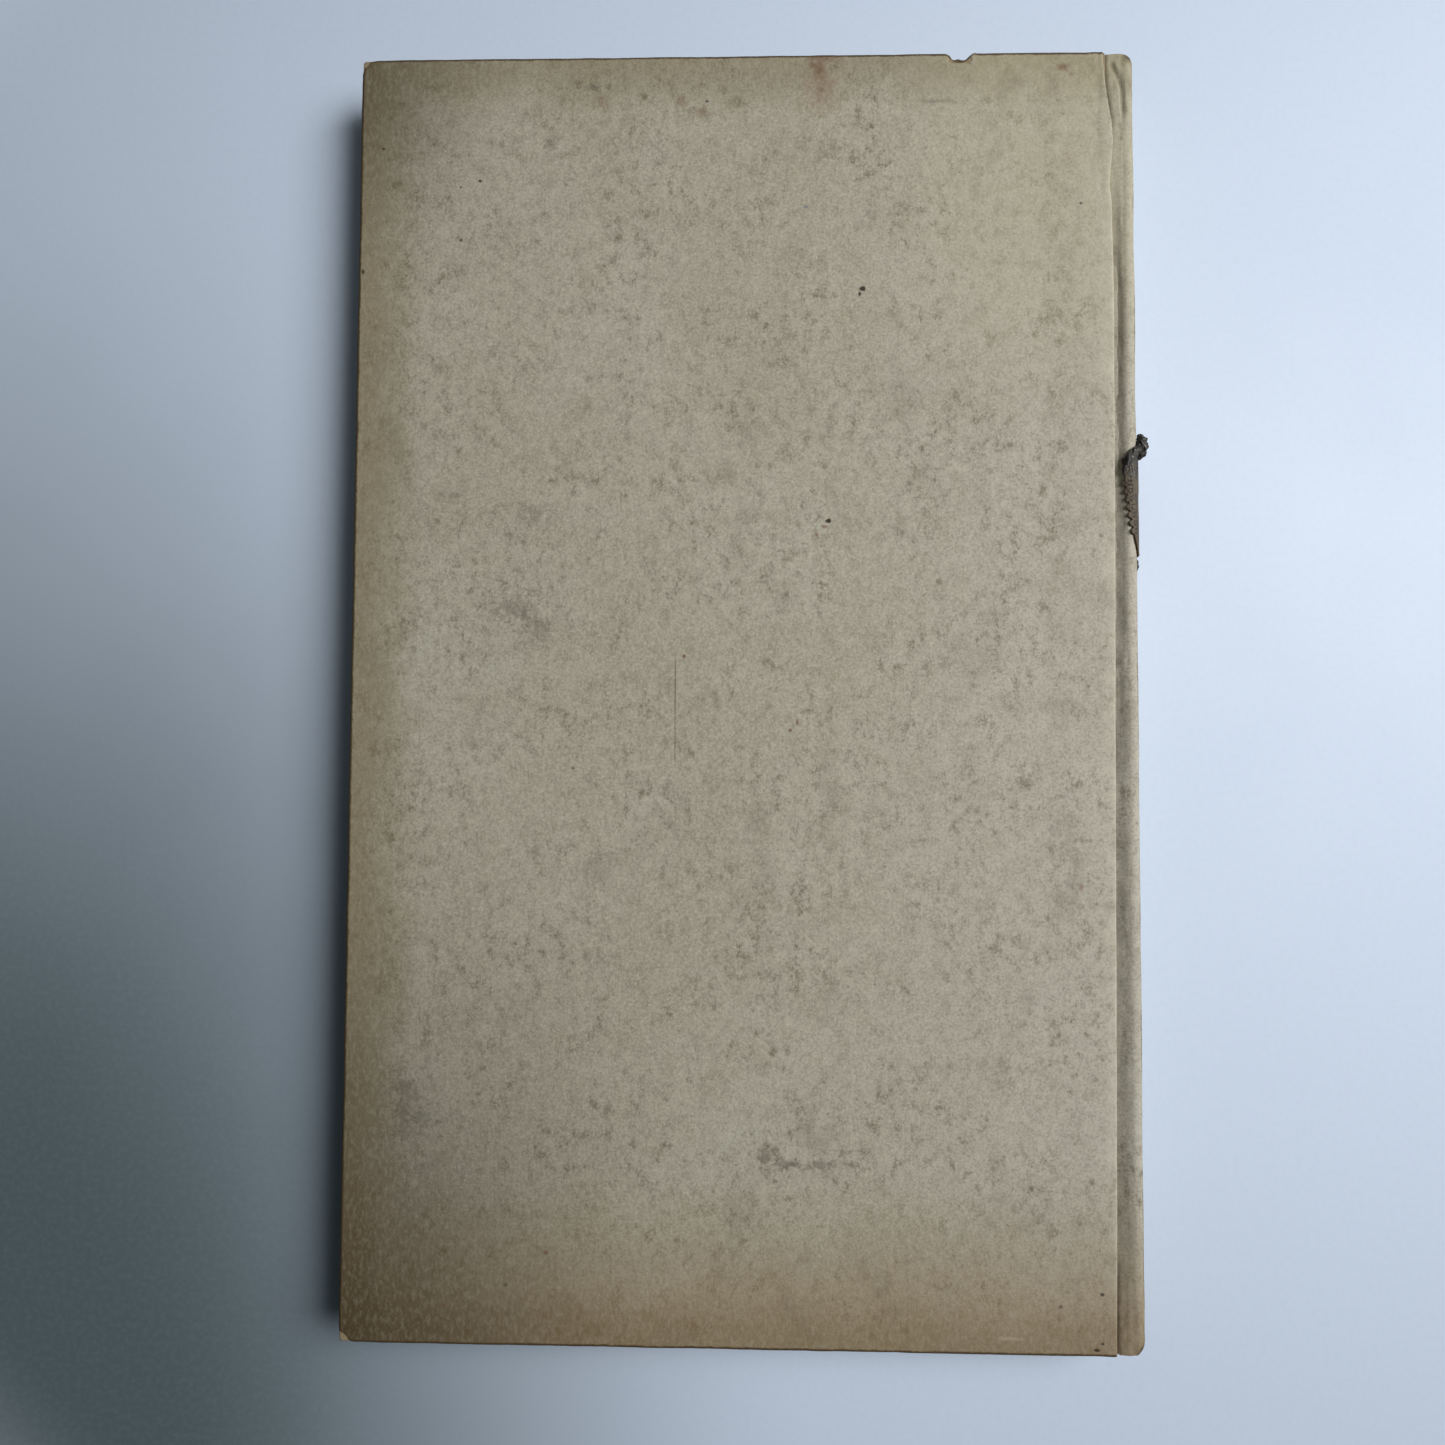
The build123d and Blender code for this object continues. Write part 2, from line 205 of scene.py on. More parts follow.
class Net:
    """Adds nodes to a shader tree and links them."""

    def __init__(self, tree):
        self.tree = tree

    def add(self, kind, inputs=None, **settings):
        node = self.tree.nodes.new(kind)
        for key, value in settings.items():
            setattr(node, key, value)
        for key, value in (inputs or {}).items():
            socket = node.inputs[key]
            if isinstance(value, bpy.types.NodeSocket):
                self.tree.links.new(value, socket)
            else:
                socket.default_value = value
        return node

    def link(self, value, socket):
        self.tree.links.new(value, socket)

    def math(self, operation, a, b=0.0, c=0.0):
        return self.add("ShaderNodeMath", {0: a, 1: b, 2: c}, operation=operation).outputs[0]

    def plus(self, a, b):
        return self.math("ADD", a, b)

    def minus(self, a, b):
        return self.math("SUBTRACT", a, b)

    def times(self, a, b):
        return self.math("MULTIPLY", a, b)

    def over(self, a, b):
        return self.math("DIVIDE", a, b)

    def most(self, a, b):
        return self.math("MAXIMUM", a, b)

    def distance(self, x, y):
        """How far a place is from the origin, from its two coordinates."""
        return self.math("SQRT", self.plus(self.times(x, x), self.times(y, y)))

    def vector(self, operation, a, b=(0.0, 0.0, 0.0), output=0):
        return self.add("ShaderNodeVectorMath", {0: a, 1: b}, operation=operation).outputs[output]

    def combine(self, parts):
        return self.add("ShaderNodeCombineXYZ", parts).outputs[0]

    def mix(self, factor, a, b, blend="MIX"):
        settings = {"data_type": "RGBA", "blend_type": blend}
        return self.add("ShaderNodeMix", {0: factor, 6: a, 7: b}, **settings).outputs[2]

    def tint(self, tone, mask, share, ink):
        """Lays a colour over a tone, by a share of a mask."""
        return self.mix(self.times(mask, share), tone, ink)

    def span(self, value, start, end, low=0.0, high=1.0):
        """Maps start..end to low..high, smoothly and clamped."""
        inputs = {0: value, 1: start, 2: end, 3: low, 4: high}
        return self.add("ShaderNodeMapRange", inputs, interpolation_type="SMOOTHSTEP").outputs[0]

    def place(self, vector, scale=(1, 1, 1), offset=(0, 0, 0), turn=(0, 0, 0)):
        return self.add("ShaderNodeMapping", {0: vector, 1: offset, 2: turn, 3: scale}).outputs[0]

    def noise(self, vector, scale, detail=3.0, rough=0.55, output=0):
        inputs = {"Vector": vector, "Scale": scale, "Detail": detail, "Roughness": rough}
        return self.add("ShaderNodeTexNoise", inputs).outputs[output]

    def cells(self, vector, scale, feature="F1"):
        inputs = {"Vector": vector, "Scale": scale}
        return self.add("ShaderNodeTexVoronoi", inputs, feature=feature)

    def group(self, made, inputs):
        return self.add("ShaderNodeGroup", inputs, node_tree=made).outputs

    def attribute(self, name):
        return self.add("ShaderNodeAttribute", attribute_name=name).outputs["Fac"]

    def position(self):
        return self.add("ShaderNodeTexCoord").outputs["Object"]

    def split(self, vector):
        return self.add("ShaderNodeSeparateXYZ", {0: vector}).outputs


def colour(red, green, blue):
    """A display colour as the linear colour that a socket takes."""
    linear = [((v / 255 + 0.055) / 1.055) ** 2.4 if v > 10 else v / 255 / 12.92 for v in (red, green, blue)]
    return (*linear, 1.0)


def new_group(name, inputs, outputs):
    """An empty shader group with named sockets; gives its net, its inputs and its output node."""
    tree = bpy.data.node_groups.new(name, "ShaderNodeTree")
    for key, kind, value in inputs:
        socket = tree.interface.new_socket(key, in_out="INPUT", socket_type=kind)
        socket.default_value = value
    for key, kind in outputs:
        tree.interface.new_socket(key, in_out="OUTPUT", socket_type=kind)
    net = Net(tree)
    return net, net.add("NodeGroupInput").outputs, net.add("NodeGroupOutput")


FLOAT, VECTOR = "NodeSocketFloat", "NodeSocketVector"


def give_out(net, out, *values):
    """Links the values to a group's outputs, in order, and gives the finished group."""
    for socket, value in zip(out.inputs, values):
        net.link(value, socket)
    return net.tree


def paper_fibre_group():
    """Pulp: cloudy blotches, fine fibres that run one way, and a height for bump."""
    net, given, out = new_group(
        "paper fibre",
        [
            ("Position", VECTOR, (0, 0, 0)),
            ("Cloud Scale", FLOAT, 60.0),
            ("Fibre Scale", FLOAT, 1500.0),
            ("Fibre Stretch", FLOAT, 0.25),
        ],
        [("Cloud", FLOAT), ("Blotch", FLOAT), ("Fibre", FLOAT), ("Height", FLOAT)],
    )
    cloud = net.noise(given[0], given[1], 3.0, 0.6)
    blotch = net.noise(given[0], net.times(given[1], 6.0), 4.0, 0.68)
    stretch = net.combine({0: 1.0, 1: given[3], 2: 1.0})
    along = net.vector("MULTIPLY", given[0], stretch)
    fibre = net.noise(along, given[2], 2.0, 0.7)
    pits = net.cells(given[0], net.times(given[2], 1.4)).outputs["Distance"]
    height = net.plus(net.times(fibre, 0.7), net.times(pits, 0.3))
    return give_out(net, out, cloud, blotch, fibre, height)


def stain_group():
    """One soft-edged ragged mark at a place on the back cover."""
    net, given, out = new_group(
        "stain mark",
        [
            ("Position", VECTOR, (0, 0, 0)),
            ("Centre", VECTOR, (0, 0, 0)),
            ("Reach", VECTOR, (0.001, 0.001, 0.002)),
            ("Ragged", FLOAT, 0.5),
            ("Solid", FLOAT, 0.5),
            ("Noise", FLOAT, 0.5),
        ],
        [("Mark", FLOAT)],
    )
    away = net.vector("SUBTRACT", given[0], given[1])
    share = net.vector("DIVIDE", away, given[2])
    length = net.vector("LENGTH", share, output=1)
    wobble = net.times(net.minus(given[5], 0.5), given[3])
    distance = net.plus(length, net.times(wobble, 2.0))
    mark = net.span(distance, given[4], 1.0, 1.0, 0.0)
    return give_out(net, out, mark)


def speck_group():
    """Scattered small specks, a share of the cells of a random pattern: dark dirt specks, and on the leather painted
    glints.
    """
    net, given, out = new_group(
        "specks and glints",
        [
            ("Position", VECTOR, (0, 0, 0)),
            ("Scale", FLOAT, 400.0),
            ("Share", FLOAT, 0.1),
            ("Size", FLOAT, 0.25),
        ],
        [("Specks", FLOAT)],
    )
    cells = net.cells(given[0], given[1])
    chosen = net.math("LESS_THAN", net.split(cells.outputs["Color"])[0], given[2])
    size = net.times(given[3], net.plus(net.split(cells.outputs["Color"])[1], 0.3))
    edge = net.minus(size, cells.outputs["Distance"])
    near = net.times(edge, 12.0)
    mark = net.add("ShaderNodeClamp", {0: net.times(near, chosen)}).outputs[0]
    return give_out(net, out, mark)


def rubbed_edge_group():
    """Where an edge is rubbed through, broken up by a fine noise."""
    net, given, out = new_group(
        "rubbed edge",
        [
            ("Position", VECTOR, (0, 0, 0)),
            ("Edge", FLOAT, 0.0),
            ("Scale", FLOAT, 500.0),
            ("Amount", FLOAT, 0.5),
        ],
        [("Rubbed", FLOAT), ("Soiled", FLOAT)],
    )
    grain = net.noise(given[0], given[2], 5.0, 0.7)
    reach = net.plus(given[1], net.times(net.minus(grain, 0.5), 1.1))
    rubbed = net.span(reach, net.minus(1.0, given[3]), net.minus(1.12, given[3]))
    soiled = net.span(reach, net.minus(0.6, given[3]), net.minus(1.1, given[3]))
    return give_out(net, out, rubbed, soiled)


def weave_group():
    """Crossing threads: a height and a mask of the holes between them."""
    net, given, out = new_group(
        "thread weave",
        [("Position", VECTOR, (0, 0, 0)), ("Threads", FLOAT, 900.0)],
        [("Height", FLOAT), ("Holes", FLOAT)],
    )
    parts = net.split(given[0])
    turns = net.times(given[1], 6.2832)
    warp = net.math("ABSOLUTE", net.math("SINE", net.times(parts[0], turns)))
    weft = net.math("ABSOLUTE", net.math("SINE", net.times(parts[1], turns)))
    height = net.most(warp, weft)
    holes = net.span(height, 0.55, 0.3)
    return give_out(net, out, height, holes)


paper_fibre = paper_fibre_group()
stain_mark = stain_group()
specks_and_glints = speck_group()
rubbed_edge = rubbed_edge_group()
thread_weave = weave_group()


def new_material(name, roughness=0.85, specular=0.35):
    """A material with its shader; gives the material, its net and the shader's inputs."""
    made = bpy.data.materials.new(name)
    made.use_nodes = True
    net = Net(made.node_tree)
    shader = made.node_tree.nodes["Principled BSDF"]
    shader.inputs["Roughness"].default_value = roughness
    shader.inputs["Specular IOR Level"].default_value = specular
    return made, net, shader.inputs


def relief(net, shader, height, distance, strength=1.0, under=None):
    """A bump from a height, on the shader's normal."""
    inputs = {"Strength": strength, "Distance": distance, "Height": height}
    if under is not None:
        inputs["Normal"] = under
    normal = net.add("ShaderNodeBump", inputs).outputs[0]
    net.link(normal, shader["Normal"])
    return normal


# Marks on the back cover, in millimetres: place, reach both ways, then raggedness, solid share,
# strength and colour
BROWN = colour(96, 62, 34)
RUST = colour(120, 78, 44)
DARK = colour(38, 32, 24)
GREY = colour(92, 86, 76)
RED = colour(96, 50, 38)
MARKS = [
    (12.6, 107.3, 4.8, 6.6, 0.9, 0.05, 0.3, RUST),
    (13.3, 114.2, 4.0, 2.0, 0.7, 0.1, 0.5, BROWN),
    (12.4, 111.4, 1.9, 2.9, 0.9, 0.15, 0.5, BROWN),
    (10.8, 112.8, 0.8, 1.6, 0.9, 0.2, 0.4, BROWN),
    (20.1, 71.5, 0.7, 0.59, 0.6, 0.5, 0.95, DARK),
    (19.6, 70.5, 0.3, 0.55, 0.6, 0.5, 0.9, DARK),
    (14.1, 29.6, 0.59, 0.5, 0.4, 0.6, 0.95, DARK),
    (13.3, 28.6, 0.75, 0.5, 0.8, 0.2, 0.6, BROWN),
    (12.0, 27.2, 0.55, 0.8, 0.8, 0.2, 0.6, BROWN),
    (-48.9, 91.7, 0.42, 0.39, 0.4, 0.5, 0.85, DARK),
    (-52.4, 90.6, 0.31, 0.31, 0.4, 0.5, 0.7, DARK),
    (-52.2, 80.8, 0.39, 0.36, 0.4, 0.5, 0.75, DARK),
    (-66.6, 97.8, 0.35, 0.35, 0.4, 0.5, 0.8, DARK),
    (-70.0, 75.1, 0.35, 0.63, 0.4, 0.5, 0.8, DARK),
    (58.9, 86.7, 0.42, 0.35, 0.4, 0.5, 0.7, DARK),
    (8.7, -6.0, 0.3, 0.8, 0.8, 0.2, 0.75, RED),
    (7.4, -7.5, 0.55, 0.4, 0.7, 0.2, 0.75, RED),
    (58.0, -34.7, 0.6, 0.95, 0.5, 0.2, 0.4, RED),
    (54.0, -106.1, 0.45, 0.42, 0.4, 0.5, 0.6, DARK),
    (61.1, -103.9, 0.49, 0.42, 0.5, 0.5, 0.8, DARK),
    (61.1, -112.2, 0.35, 0.31, 0.5, 0.5, 0.8, DARK),
    (60.1, -113.3, 0.63, 0.35, 0.5, 0.5, 0.9, DARK),
    (-34.6, -98.5, 0.55, 0.5, 0.7, 0.3, 0.6, BROWN),
    (-36.2, -97.6, 0.7, 0.4, 0.8, 0.2, 0.35, BROWN),
    (3.3, -81.3, 2.6, 2.2, 2.6, 0.0, 0.6, GREY),
    (6.4, -82.9, 3.6, 1.4, 2.6, 0.0, 0.6, GREY),
    (12.5, -83.0, 6.5, 1.3, 2.6, 0.0, 0.55, GREY),
    (18.0, -82.8, 3.2, 1.2, 2.6, 0.0, 0.5, GREY),
    (-42.1, 14.2, 5.5, 4.6, 3.6, 0.0, 0.42, GREY),
    (-38.0, 10.4, 6.0, 3.4, 3.6, 0.0, 0.4, GREY),
    (-39.0, 31.0, 5.5, 2.6, 3.6, 0.0, 0.42, GREY),
    (10.0, 86.4, 0.56, 0.49, 0.5, 0.3, 0.55, colour(84, 84, 112)),
    (-59.8, -73.5, 3.2, 5.8, 3.0, 0.0, 0.6, GREY),
    (-57.0, -76.0, 4.0, 3.0, 3.0, 0.0, 0.45, GREY),
    (-28.4, 108.9, 1.6, 1.2, 1.6, 0.0, 0.5, DARK),
    (-26.8, 106.0, 2.6, 1.8, 1.6, 0.0, 0.35, BROWN),
    (-12.8, 106.0, 1.6, 2.2, 1.6, 0.0, 0.4, BROWN),
    (-8.8, 104.0, 2.2, 1.6, 1.6, 0.0, 0.35, BROWN),
    (-7.9, 106.0, 0.35, 0.31, 0.4, 0.5, 0.8, DARK),
    (33.5, 105.6, 5.5, 0.8, 1.4, 0.0, 0.5, GREY),
    (-30.9, -14.4, 0.31, 0.31, 0.4, 0.5, 0.6, DARK),
    (-11.4, 5.5, 0.45, 0.45, 0.8, 0.3, 0.8, BROWN),
    (-41.6, -104.1, 0.7, 0.4, 0.9, 0.2, 0.5, DARK),
    (-42.7, -98.3, 0.5, 0.3, 0.9, 0.2, 0.4, BROWN),
    (-57.5, -94.2, 0.5, 0.6, 0.9, 0.1, 0.4, BROWN),
    (-52.6, -107.7, 0.5, 0.5, 0.9, 0.1, 0.5, BROWN),
    (55.9, 111.6, 1.7, 1.1, 1.0, 0.1, 0.6, BROWN),
    (57.4, 110.4, 0.8, 0.7, 1.0, 0.1, 0.4, BROWN),
    (45.3, -111.6, 3.2, 0.5, 0.9, 0.1, 0.4, colour(170, 160, 140)),
]


def cover_paper_material():
    """Old grey-buff covering paper: cloudy, fibrous, browned at its borders and marked; with painted light paler
    towards the top right, painted shade at the bottom-left corner and painted highlights along the joint.
    """
    made, net, shader = new_material("old covering paper", 0.86, 0.3)
    at = net.position()
    x, y, z = net.split(at)[0:3]
    fibre = net.group(paper_fibre, {0: at, 1: 42.0, 2: 1500.0, 3: 0.45})
    tone = net.mix(net.span(fibre[0], 0.3, 0.72), colour(149, 144, 129), colour(157, 153, 140))
    # Painted light: the tone is made paler towards the right, spine side of the cover, where the light falls.
    tone = net.mix(net.span(x, 0.01, 0.06, 0.0, 0.6), tone, colour(166, 162, 153))
    tone = net.mix(net.span(fibre[1], 0.46, 0.7, 0.0, 0.32), tone, colour(134, 127, 110))
    grain = net.noise(at, 2600.0, 1.0, 0.5)
    tone = net.mix(net.span(grain, 0.5, 0.72, 0.0, 0.38), tone, colour(112, 106, 90))
    tone = net.mix(net.span(grain, 0.5, 0.28, 0.0, 0.34), tone, colour(188, 184, 168))
    flecks = net.noise(net.place(at, (1.0, 0.75, 1.0)), 520.0, 6.0, 0.86)
    where = net.noise(at, 75.0, 3.0, 0.6)
    fleck = net.times(net.span(flecks, 0.5, 0.66), net.span(where, 0.32, 0.62, 0.15, 0.9))
    tone = net.mix(fleck, tone, colour(100, 94, 77))
    tone = net.mix(net.span(flecks, 0.5, 0.34, 0.0, 0.26), tone, colour(176, 170, 152))
    # Border browning, measured from the three outer edges with a ragged line, with painted shade at the bottom-left
    # corner and painted light at the top right
    ragged = net.noise(at, 70.0, 5.0, 0.65)
    shake = net.times(net.minus(ragged, 0.5), 0.012)
    left = net.plus(net.plus(x, 0.0709), shake)
    head = net.plus(net.minus(0.1145, y), shake)
    tail = net.plus(net.plus(y, 0.1145), shake)
    border = net.most(net.span(left, 0.013, 0.002), net.span(head, 0.012, 0.001, 0.0, 0.75))
    border = net.most(border, net.span(tail, 0.034, 0.002, 0.0, 0.9))
    # Painted shade with browning: this mask darkens the cover strongly towards its bottom-left corner.
    corner = net.times(net.span(x, -0.008, -0.078), net.span(y, -0.02, -0.118))
    top_corner = net.times(net.span(x, -0.04, -0.073), net.span(y, 0.07, 0.114))
    browned = net.mix(net.span(y, -0.07, -0.1), colour(112, 100, 70), colour(124, 103, 68))
    tone = net.tint(tone, border, 0.66, browned)
    tone = net.mix(net.times(net.span(tail, 0.011, 0.001), 0.3), tone, colour(92, 70, 36))
    tone = net.tint(tone, corner, 0.9, colour(54, 42, 17))
    tone = net.tint(tone, top_corner, 0.65, colour(62, 52, 28))
    # Painted light: a paler yellowish patch towards the top right of the cover.
    green = net.times(net.span(x, 0.02, 0.05), net.span(y, 0.04, 0.09))
    tone = net.tint(tone, green, 0.3, colour(166, 160, 126))
    # Columns of dots where the turned-in paper's glue came through
    dots = net.span(net.noise(at, 1500.0, 5.0, 0.75), 0.52, 0.62)
    soft = net.noise(at, 260.0, 4.0, 0.7)
    column = net.plus(x, net.times(net.minus(ragged, 0.5), 0.006))
    fore_column = net.times(net.span(column, -0.0665, -0.0625), net.span(column, -0.0575, -0.0615))
    joint_column = net.times(net.span(column, 0.0505, 0.0545), net.span(column, 0.0605, 0.056))
    columns = net.most(fore_column, net.times(joint_column, net.span(y, -0.03, 0.03, 0.25, 0.8)))
    speckled = net.times(columns, net.span(soft, 0.42, 0.62, 0.15, 1.0))
    tone = net.tint(tone, speckled, 0.22, colour(104, 92, 72))
    tone = net.mix(net.times(net.times(dots, speckled), 0.5), tone, colour(84, 74, 56))
    few = net.group(specks_and_glints, {0: at, 1: 210.0, 2: 0.05, 3: 0.12})[0]
    tone = net.tint(tone, few, 0.55, colour(84, 66, 46))
    # Soiled smears
    smear = net.noise(net.place(at, (1.0, 0.6, 1.0)), 120.0, 6.0, 0.75)
    patch = net.noise(at, 26.0, 2.0, 0.5)
    soil = net.times(net.span(smear, 0.5, 0.68), net.span(patch, 0.4, 0.62))
    tone = net.tint(tone, soil, 0.3, colour(104, 98, 84))
    tone = net.mix(net.span(fibre[2], 0.4, 0.75, 0.0, 0.14), tone, colour(184, 180, 164))
    tone = net.mix(net.span(fibre[2], 0.45, 0.2, 0.0, 0.2), tone, colour(106, 100, 84))
    on_back = net.math("GREATER_THAN", z, 0.0095)
    small, wide = net.noise(at, 1500.0, 2.0, 0.6), net.noise(at, 620.0, 5.0, 0.8)
    for mark_x, mark_y, wide_by, tall_by, rough, solid, strength, ink in MARKS:
        where = (mark_x / 1000, mark_y / 1000, 0.0121)
        size = (wide_by / 1000, tall_by / 1000, 0.004)
        grain = wide if max(wide_by, tall_by) > 1.2 else small
        mark = net.group(stain_mark, {0: at, 1: where, 2: size, 3: rough, 4: solid, 5: grain})[0]
        seen = net.times(net.times(mark, on_back), strength)
        tone = net.mix(seen, tone, ink)
    scratch_x = net.math("ABSOLUTE", net.minus(x, -0.0129))
    scratch = net.times(net.span(scratch_x, 0.00018, 0.00005), net.span(y, -0.0148, -0.012))
    scratch = net.times(net.times(scratch, net.span(y, 0.0060, 0.0035)), on_back)
    tone = net.mix(net.times(scratch, net.span(soft, 0.35, 0.6, 0.3, 0.75)), tone, colour(86, 80, 66))
    rub = net.group(rubbed_edge, {0: at, 1: net.attribute("edge"), 2: 620.0, 3: 0.36})
    tone = net.tint(tone, rub[1], 0.6, colour(92, 72, 44))
    tone = net.tint(tone, rub[0], 0.75, colour(58, 46, 30))
    # Painted highlights: the ridge attribute makes the paper paler along the board's edge by the joint, on the
    # spine's crest and on the dent's ridge.
    pale = net.attribute("ridge")
    tone = net.mix(net.times(pale, net.span(fibre[1], 0.25, 0.6, 0.9, 0.35)), tone, colour(190, 184, 168))
    # Cracks and creases, and painted shade with dirt down the joint's groove, all darken the paper here.
    cracks_and_groove_shade = net.attribute("cracks_and_groove_shade")
    tone = net.mix(net.times(cracks_and_groove_shade, net.span(soft, 0.3, 0.6, 1.0, 0.45)), tone, colour(64, 54, 36))
    net.link(tone, shader["Base Color"])
    rough = net.span(fibre[1], 0.3, 0.7, 0.78, 0.92)
    net.link(rough, shader["Roughness"])
    cockle = relief(net, shader, fibre[1], 0.00012, 0.6)
    cut = net.times(net.plus(scratch, cracks_and_groove_shade), -0.6)
    height = net.plus(fibre[3], cut)
    relief(net, shader, height, 0.00005, 0.7, cockle)
    return made


def toned_paper_material(name, light, dark, cloud, border):
    """Uncoated paper gone brown, darker near its edges."""
    made, net, shader = new_material(name, 0.9, 0.25)
    at = net.position()
    fibre = net.group(paper_fibre, {0: at, 1: cloud, 2: 1300.0, 3: 0.4})
    tone = net.mix(net.span(fibre[0], 0.3, 0.7), dark, light)
    x, y = net.split(at)[0:2]
    edge = net.math("MINIMUM", net.plus(x, 0.0679), net.minus(0.1115, net.math("ABSOLUTE", y)))
    tone = net.mix(net.span(edge, 0.012, 0.0, 0.0, border), tone, colour(132, 98, 58))
    shift = {0: net.noise(at, 420.0, 3.0, 0.6, 1), 3: 0.004}
    stray = net.add("ShaderNodeVectorMath", shift, operation="SCALE").outputs[0]
    spread = net.vector("ADD", at, stray)
    fox = net.group(specks_and_glints, {0: spread, 1: 190.0, 2: 0.08, 3: 0.22})[0]
    tone = net.tint(tone, fox, 0.28, colour(150, 104, 58))
    tone = net.mix(net.span(fibre[2], 0.4, 0.75, 0.0, 0.15), tone, colour(236, 222, 190))
    net.link(tone, shader["Base Color"])
    net.link(net.span(fibre[1], 0.3, 0.7, 0.84, 0.95), shader["Roughness"])
    relief(net, shader, fibre[3], 0.00004, 0.6)
    return made


def page_edge_material():
    """The cut edges of the leaves: each leaf its own tone, with dusty soiling."""
    made, net, shader = new_material("book leaves", 0.92, 0.2)
    at = net.position()
    fibre = net.group(paper_fibre, {0: at, 1: 90.0, 2: 1800.0, 3: 0.6})
    leaf = net.attribute("leaf_tone")
    tone = net.mix(leaf, colour(176, 150, 108), colour(214, 193, 152))
    tone = net.mix(net.span(fibre[0], 0.35, 0.75, 0.0, 0.5), tone, colour(150, 122, 82))
    dust = net.noise(net.place(at, (0.2, 0.2, 3.0)), 700.0, 4.0, 0.7)
    tone = net.mix(net.span(dust, 0.5, 0.75, 0.0, 0.45), tone, colour(120, 98, 66))
    net.link(tone, shader["Base Color"])
    net.link(net.span(dust, 0.3, 0.7, 0.86, 0.96), shader["Roughness"])
    relief(net, shader, fibre[3], 0.00003, 0.5)
    return made


def board_material(name, light, dark):
    """Pressed waste-paper board with coarse fibres and dark flecks."""
    made, net, shader = new_material(name, 0.93, 0.2)
    at = net.position()
    fibre = net.group(paper_fibre, {0: at, 1: 110.0, 2: 900.0, 3: 0.5})
    tone = net.mix(fibre[1], dark, light)
    fleck = net.group(specks_and_glints, {0: at, 1: 700.0, 2: 0.2, 3: 0.3})[0]
    tone = net.tint(tone, fleck, 0.5, colour(64, 54, 42))
    net.link(tone, shader["Base Color"])
    net.link(net.span(fibre[1], 0.3, 0.7, 0.88, 0.97), shader["Roughness"])
    relief(net, shader, fibre[3], 0.00009, 0.8)
    return made


def woven_material(name, thread, hollow, count):
    """Cloth of plain woven threads."""
    made, net, shader = new_material(name, 0.9, 0.25)
    at = net.position()
    weave = net.group(thread_weave, {0: at, 1: count})
    cloud = net.noise(at, 130.0, 4.0, 0.6)
    tone = net.mix(net.times(weave[1], 0.75), thread, hollow)
    tone = net.mix(net.span(cloud, 0.4, 0.7, 0.0, 0.35), tone, colour(146, 122, 84))
    net.link(tone, shader["Base Color"])
    net.link(net.span(cloud, 0.3, 0.7, 0.85, 0.95), shader["Roughness"])
    relief(net, shader, weave[0], 0.00012, 0.9)
    return made


def leather_material():
    """Thin dark brown label leather: grained, tooled, dried and rubbed at its edges."""
    made, net, shader = new_material("label leather", 0.6, 0.45)
    at = net.position()
    grain = net.cells(at, 2600.0).outputs["Distance"]
    coarse = net.noise(at, 420.0, 5.0, 0.65)
    tone = net.mix(net.span(coarse, 0.35, 0.65), colour(52, 44, 34), colour(86, 77, 61))
    charred = net.attribute("charred")
    tone = net.mix(charred, tone, net.mix(net.span(coarse, 0.4, 0.62), colour(22, 20, 18), colour(60, 58, 55)))
    rub = net.group(rubbed_edge, {0: at, 1: net.attribute("edge"), 2: 1500.0, 3: 0.35})
    tone = net.tint(tone, rub[0], 0.7, colour(122, 98, 70))
    tooling = net.attribute("tooling")
    tone = net.tint(tone, tooling, 0.8, colour(26, 20, 15))
    # Painted glints: pale specks on the charred leather stand in for highlights.
    painted_glint = net.group(specks_and_glints, {0: at, 1: 1600.0, 2: 0.16, 3: 0.5})[0]
    tone = net.mix(net.times(net.times(painted_glint, charred), 0.55), tone, colour(150, 148, 142))
    net.link(tone, shader["Base Color"])
    net.link(net.span(coarse, 0.35, 0.7, 0.48, 0.78), shader["Roughness"])
    height = net.minus(net.plus(grain, coarse), net.times(tooling, 0.8))
    relief(net, shader, height, 0.00012, 0.8)
    return made


cover_paper = cover_paper_material()
endpaper_look = toned_paper_material("endpaper", colour(203, 188, 156), colour(192, 175, 140), 50.0, 0.5)
lining_look = toned_paper_material("brown lining paper", colour(150, 118, 80), colour(126, 96, 62), 80.0, 0.2)
leaves_look = page_edge_material()
board_look = board_material("pressed board", colour(150, 136, 112), colour(112, 98, 78))
inlay_look = board_material("spine card", colour(146, 130, 104), colour(104, 90, 70))
mull_look = woven_material("mull cloth", colour(206, 194, 162), colour(128, 108, 74), 620.0)
linen_look = woven_material("linen thread", colour(200, 184, 148), colour(136, 116, 82), 1900.0)
leather = leather_material()


# The covering paper, one continuous sheet from the middle of the spine round the board


def wrap_steps(drop, round_by, flat=0.35):
    """Outward reach and depth of the sheet as it turns round an edge of the given depth."""
    reach = [flat * 0.5, flat]
    depth = [np.zeros_like(drop), np.zeros_like(drop)]
    for angle in np.radians([22.5, 45, 67.5, 90]):
        reach.append(flat + 0.45 * math.sin(angle))
        depth.append(round_by * (1 - math.cos(angle)))
    for share in (0.35, 0.7, 1.0):
        reach.append(flat + 0.45)
        depth.append(round_by + (drop - 2 * round_by) * share)
    for angle in np.radians([45, 90]):
        reach.append(flat + 0.45 - 0.3 * (1 - math.cos(angle)))
        depth.append(drop - round_by + round_by * math.sin(angle))
    reach.append(0.2)
    depth.append(drop.copy())
    return reach, depth


# How far the sheet's flat part ends inside the cover's outline, where it starts to turn down
EDGE = 0.8


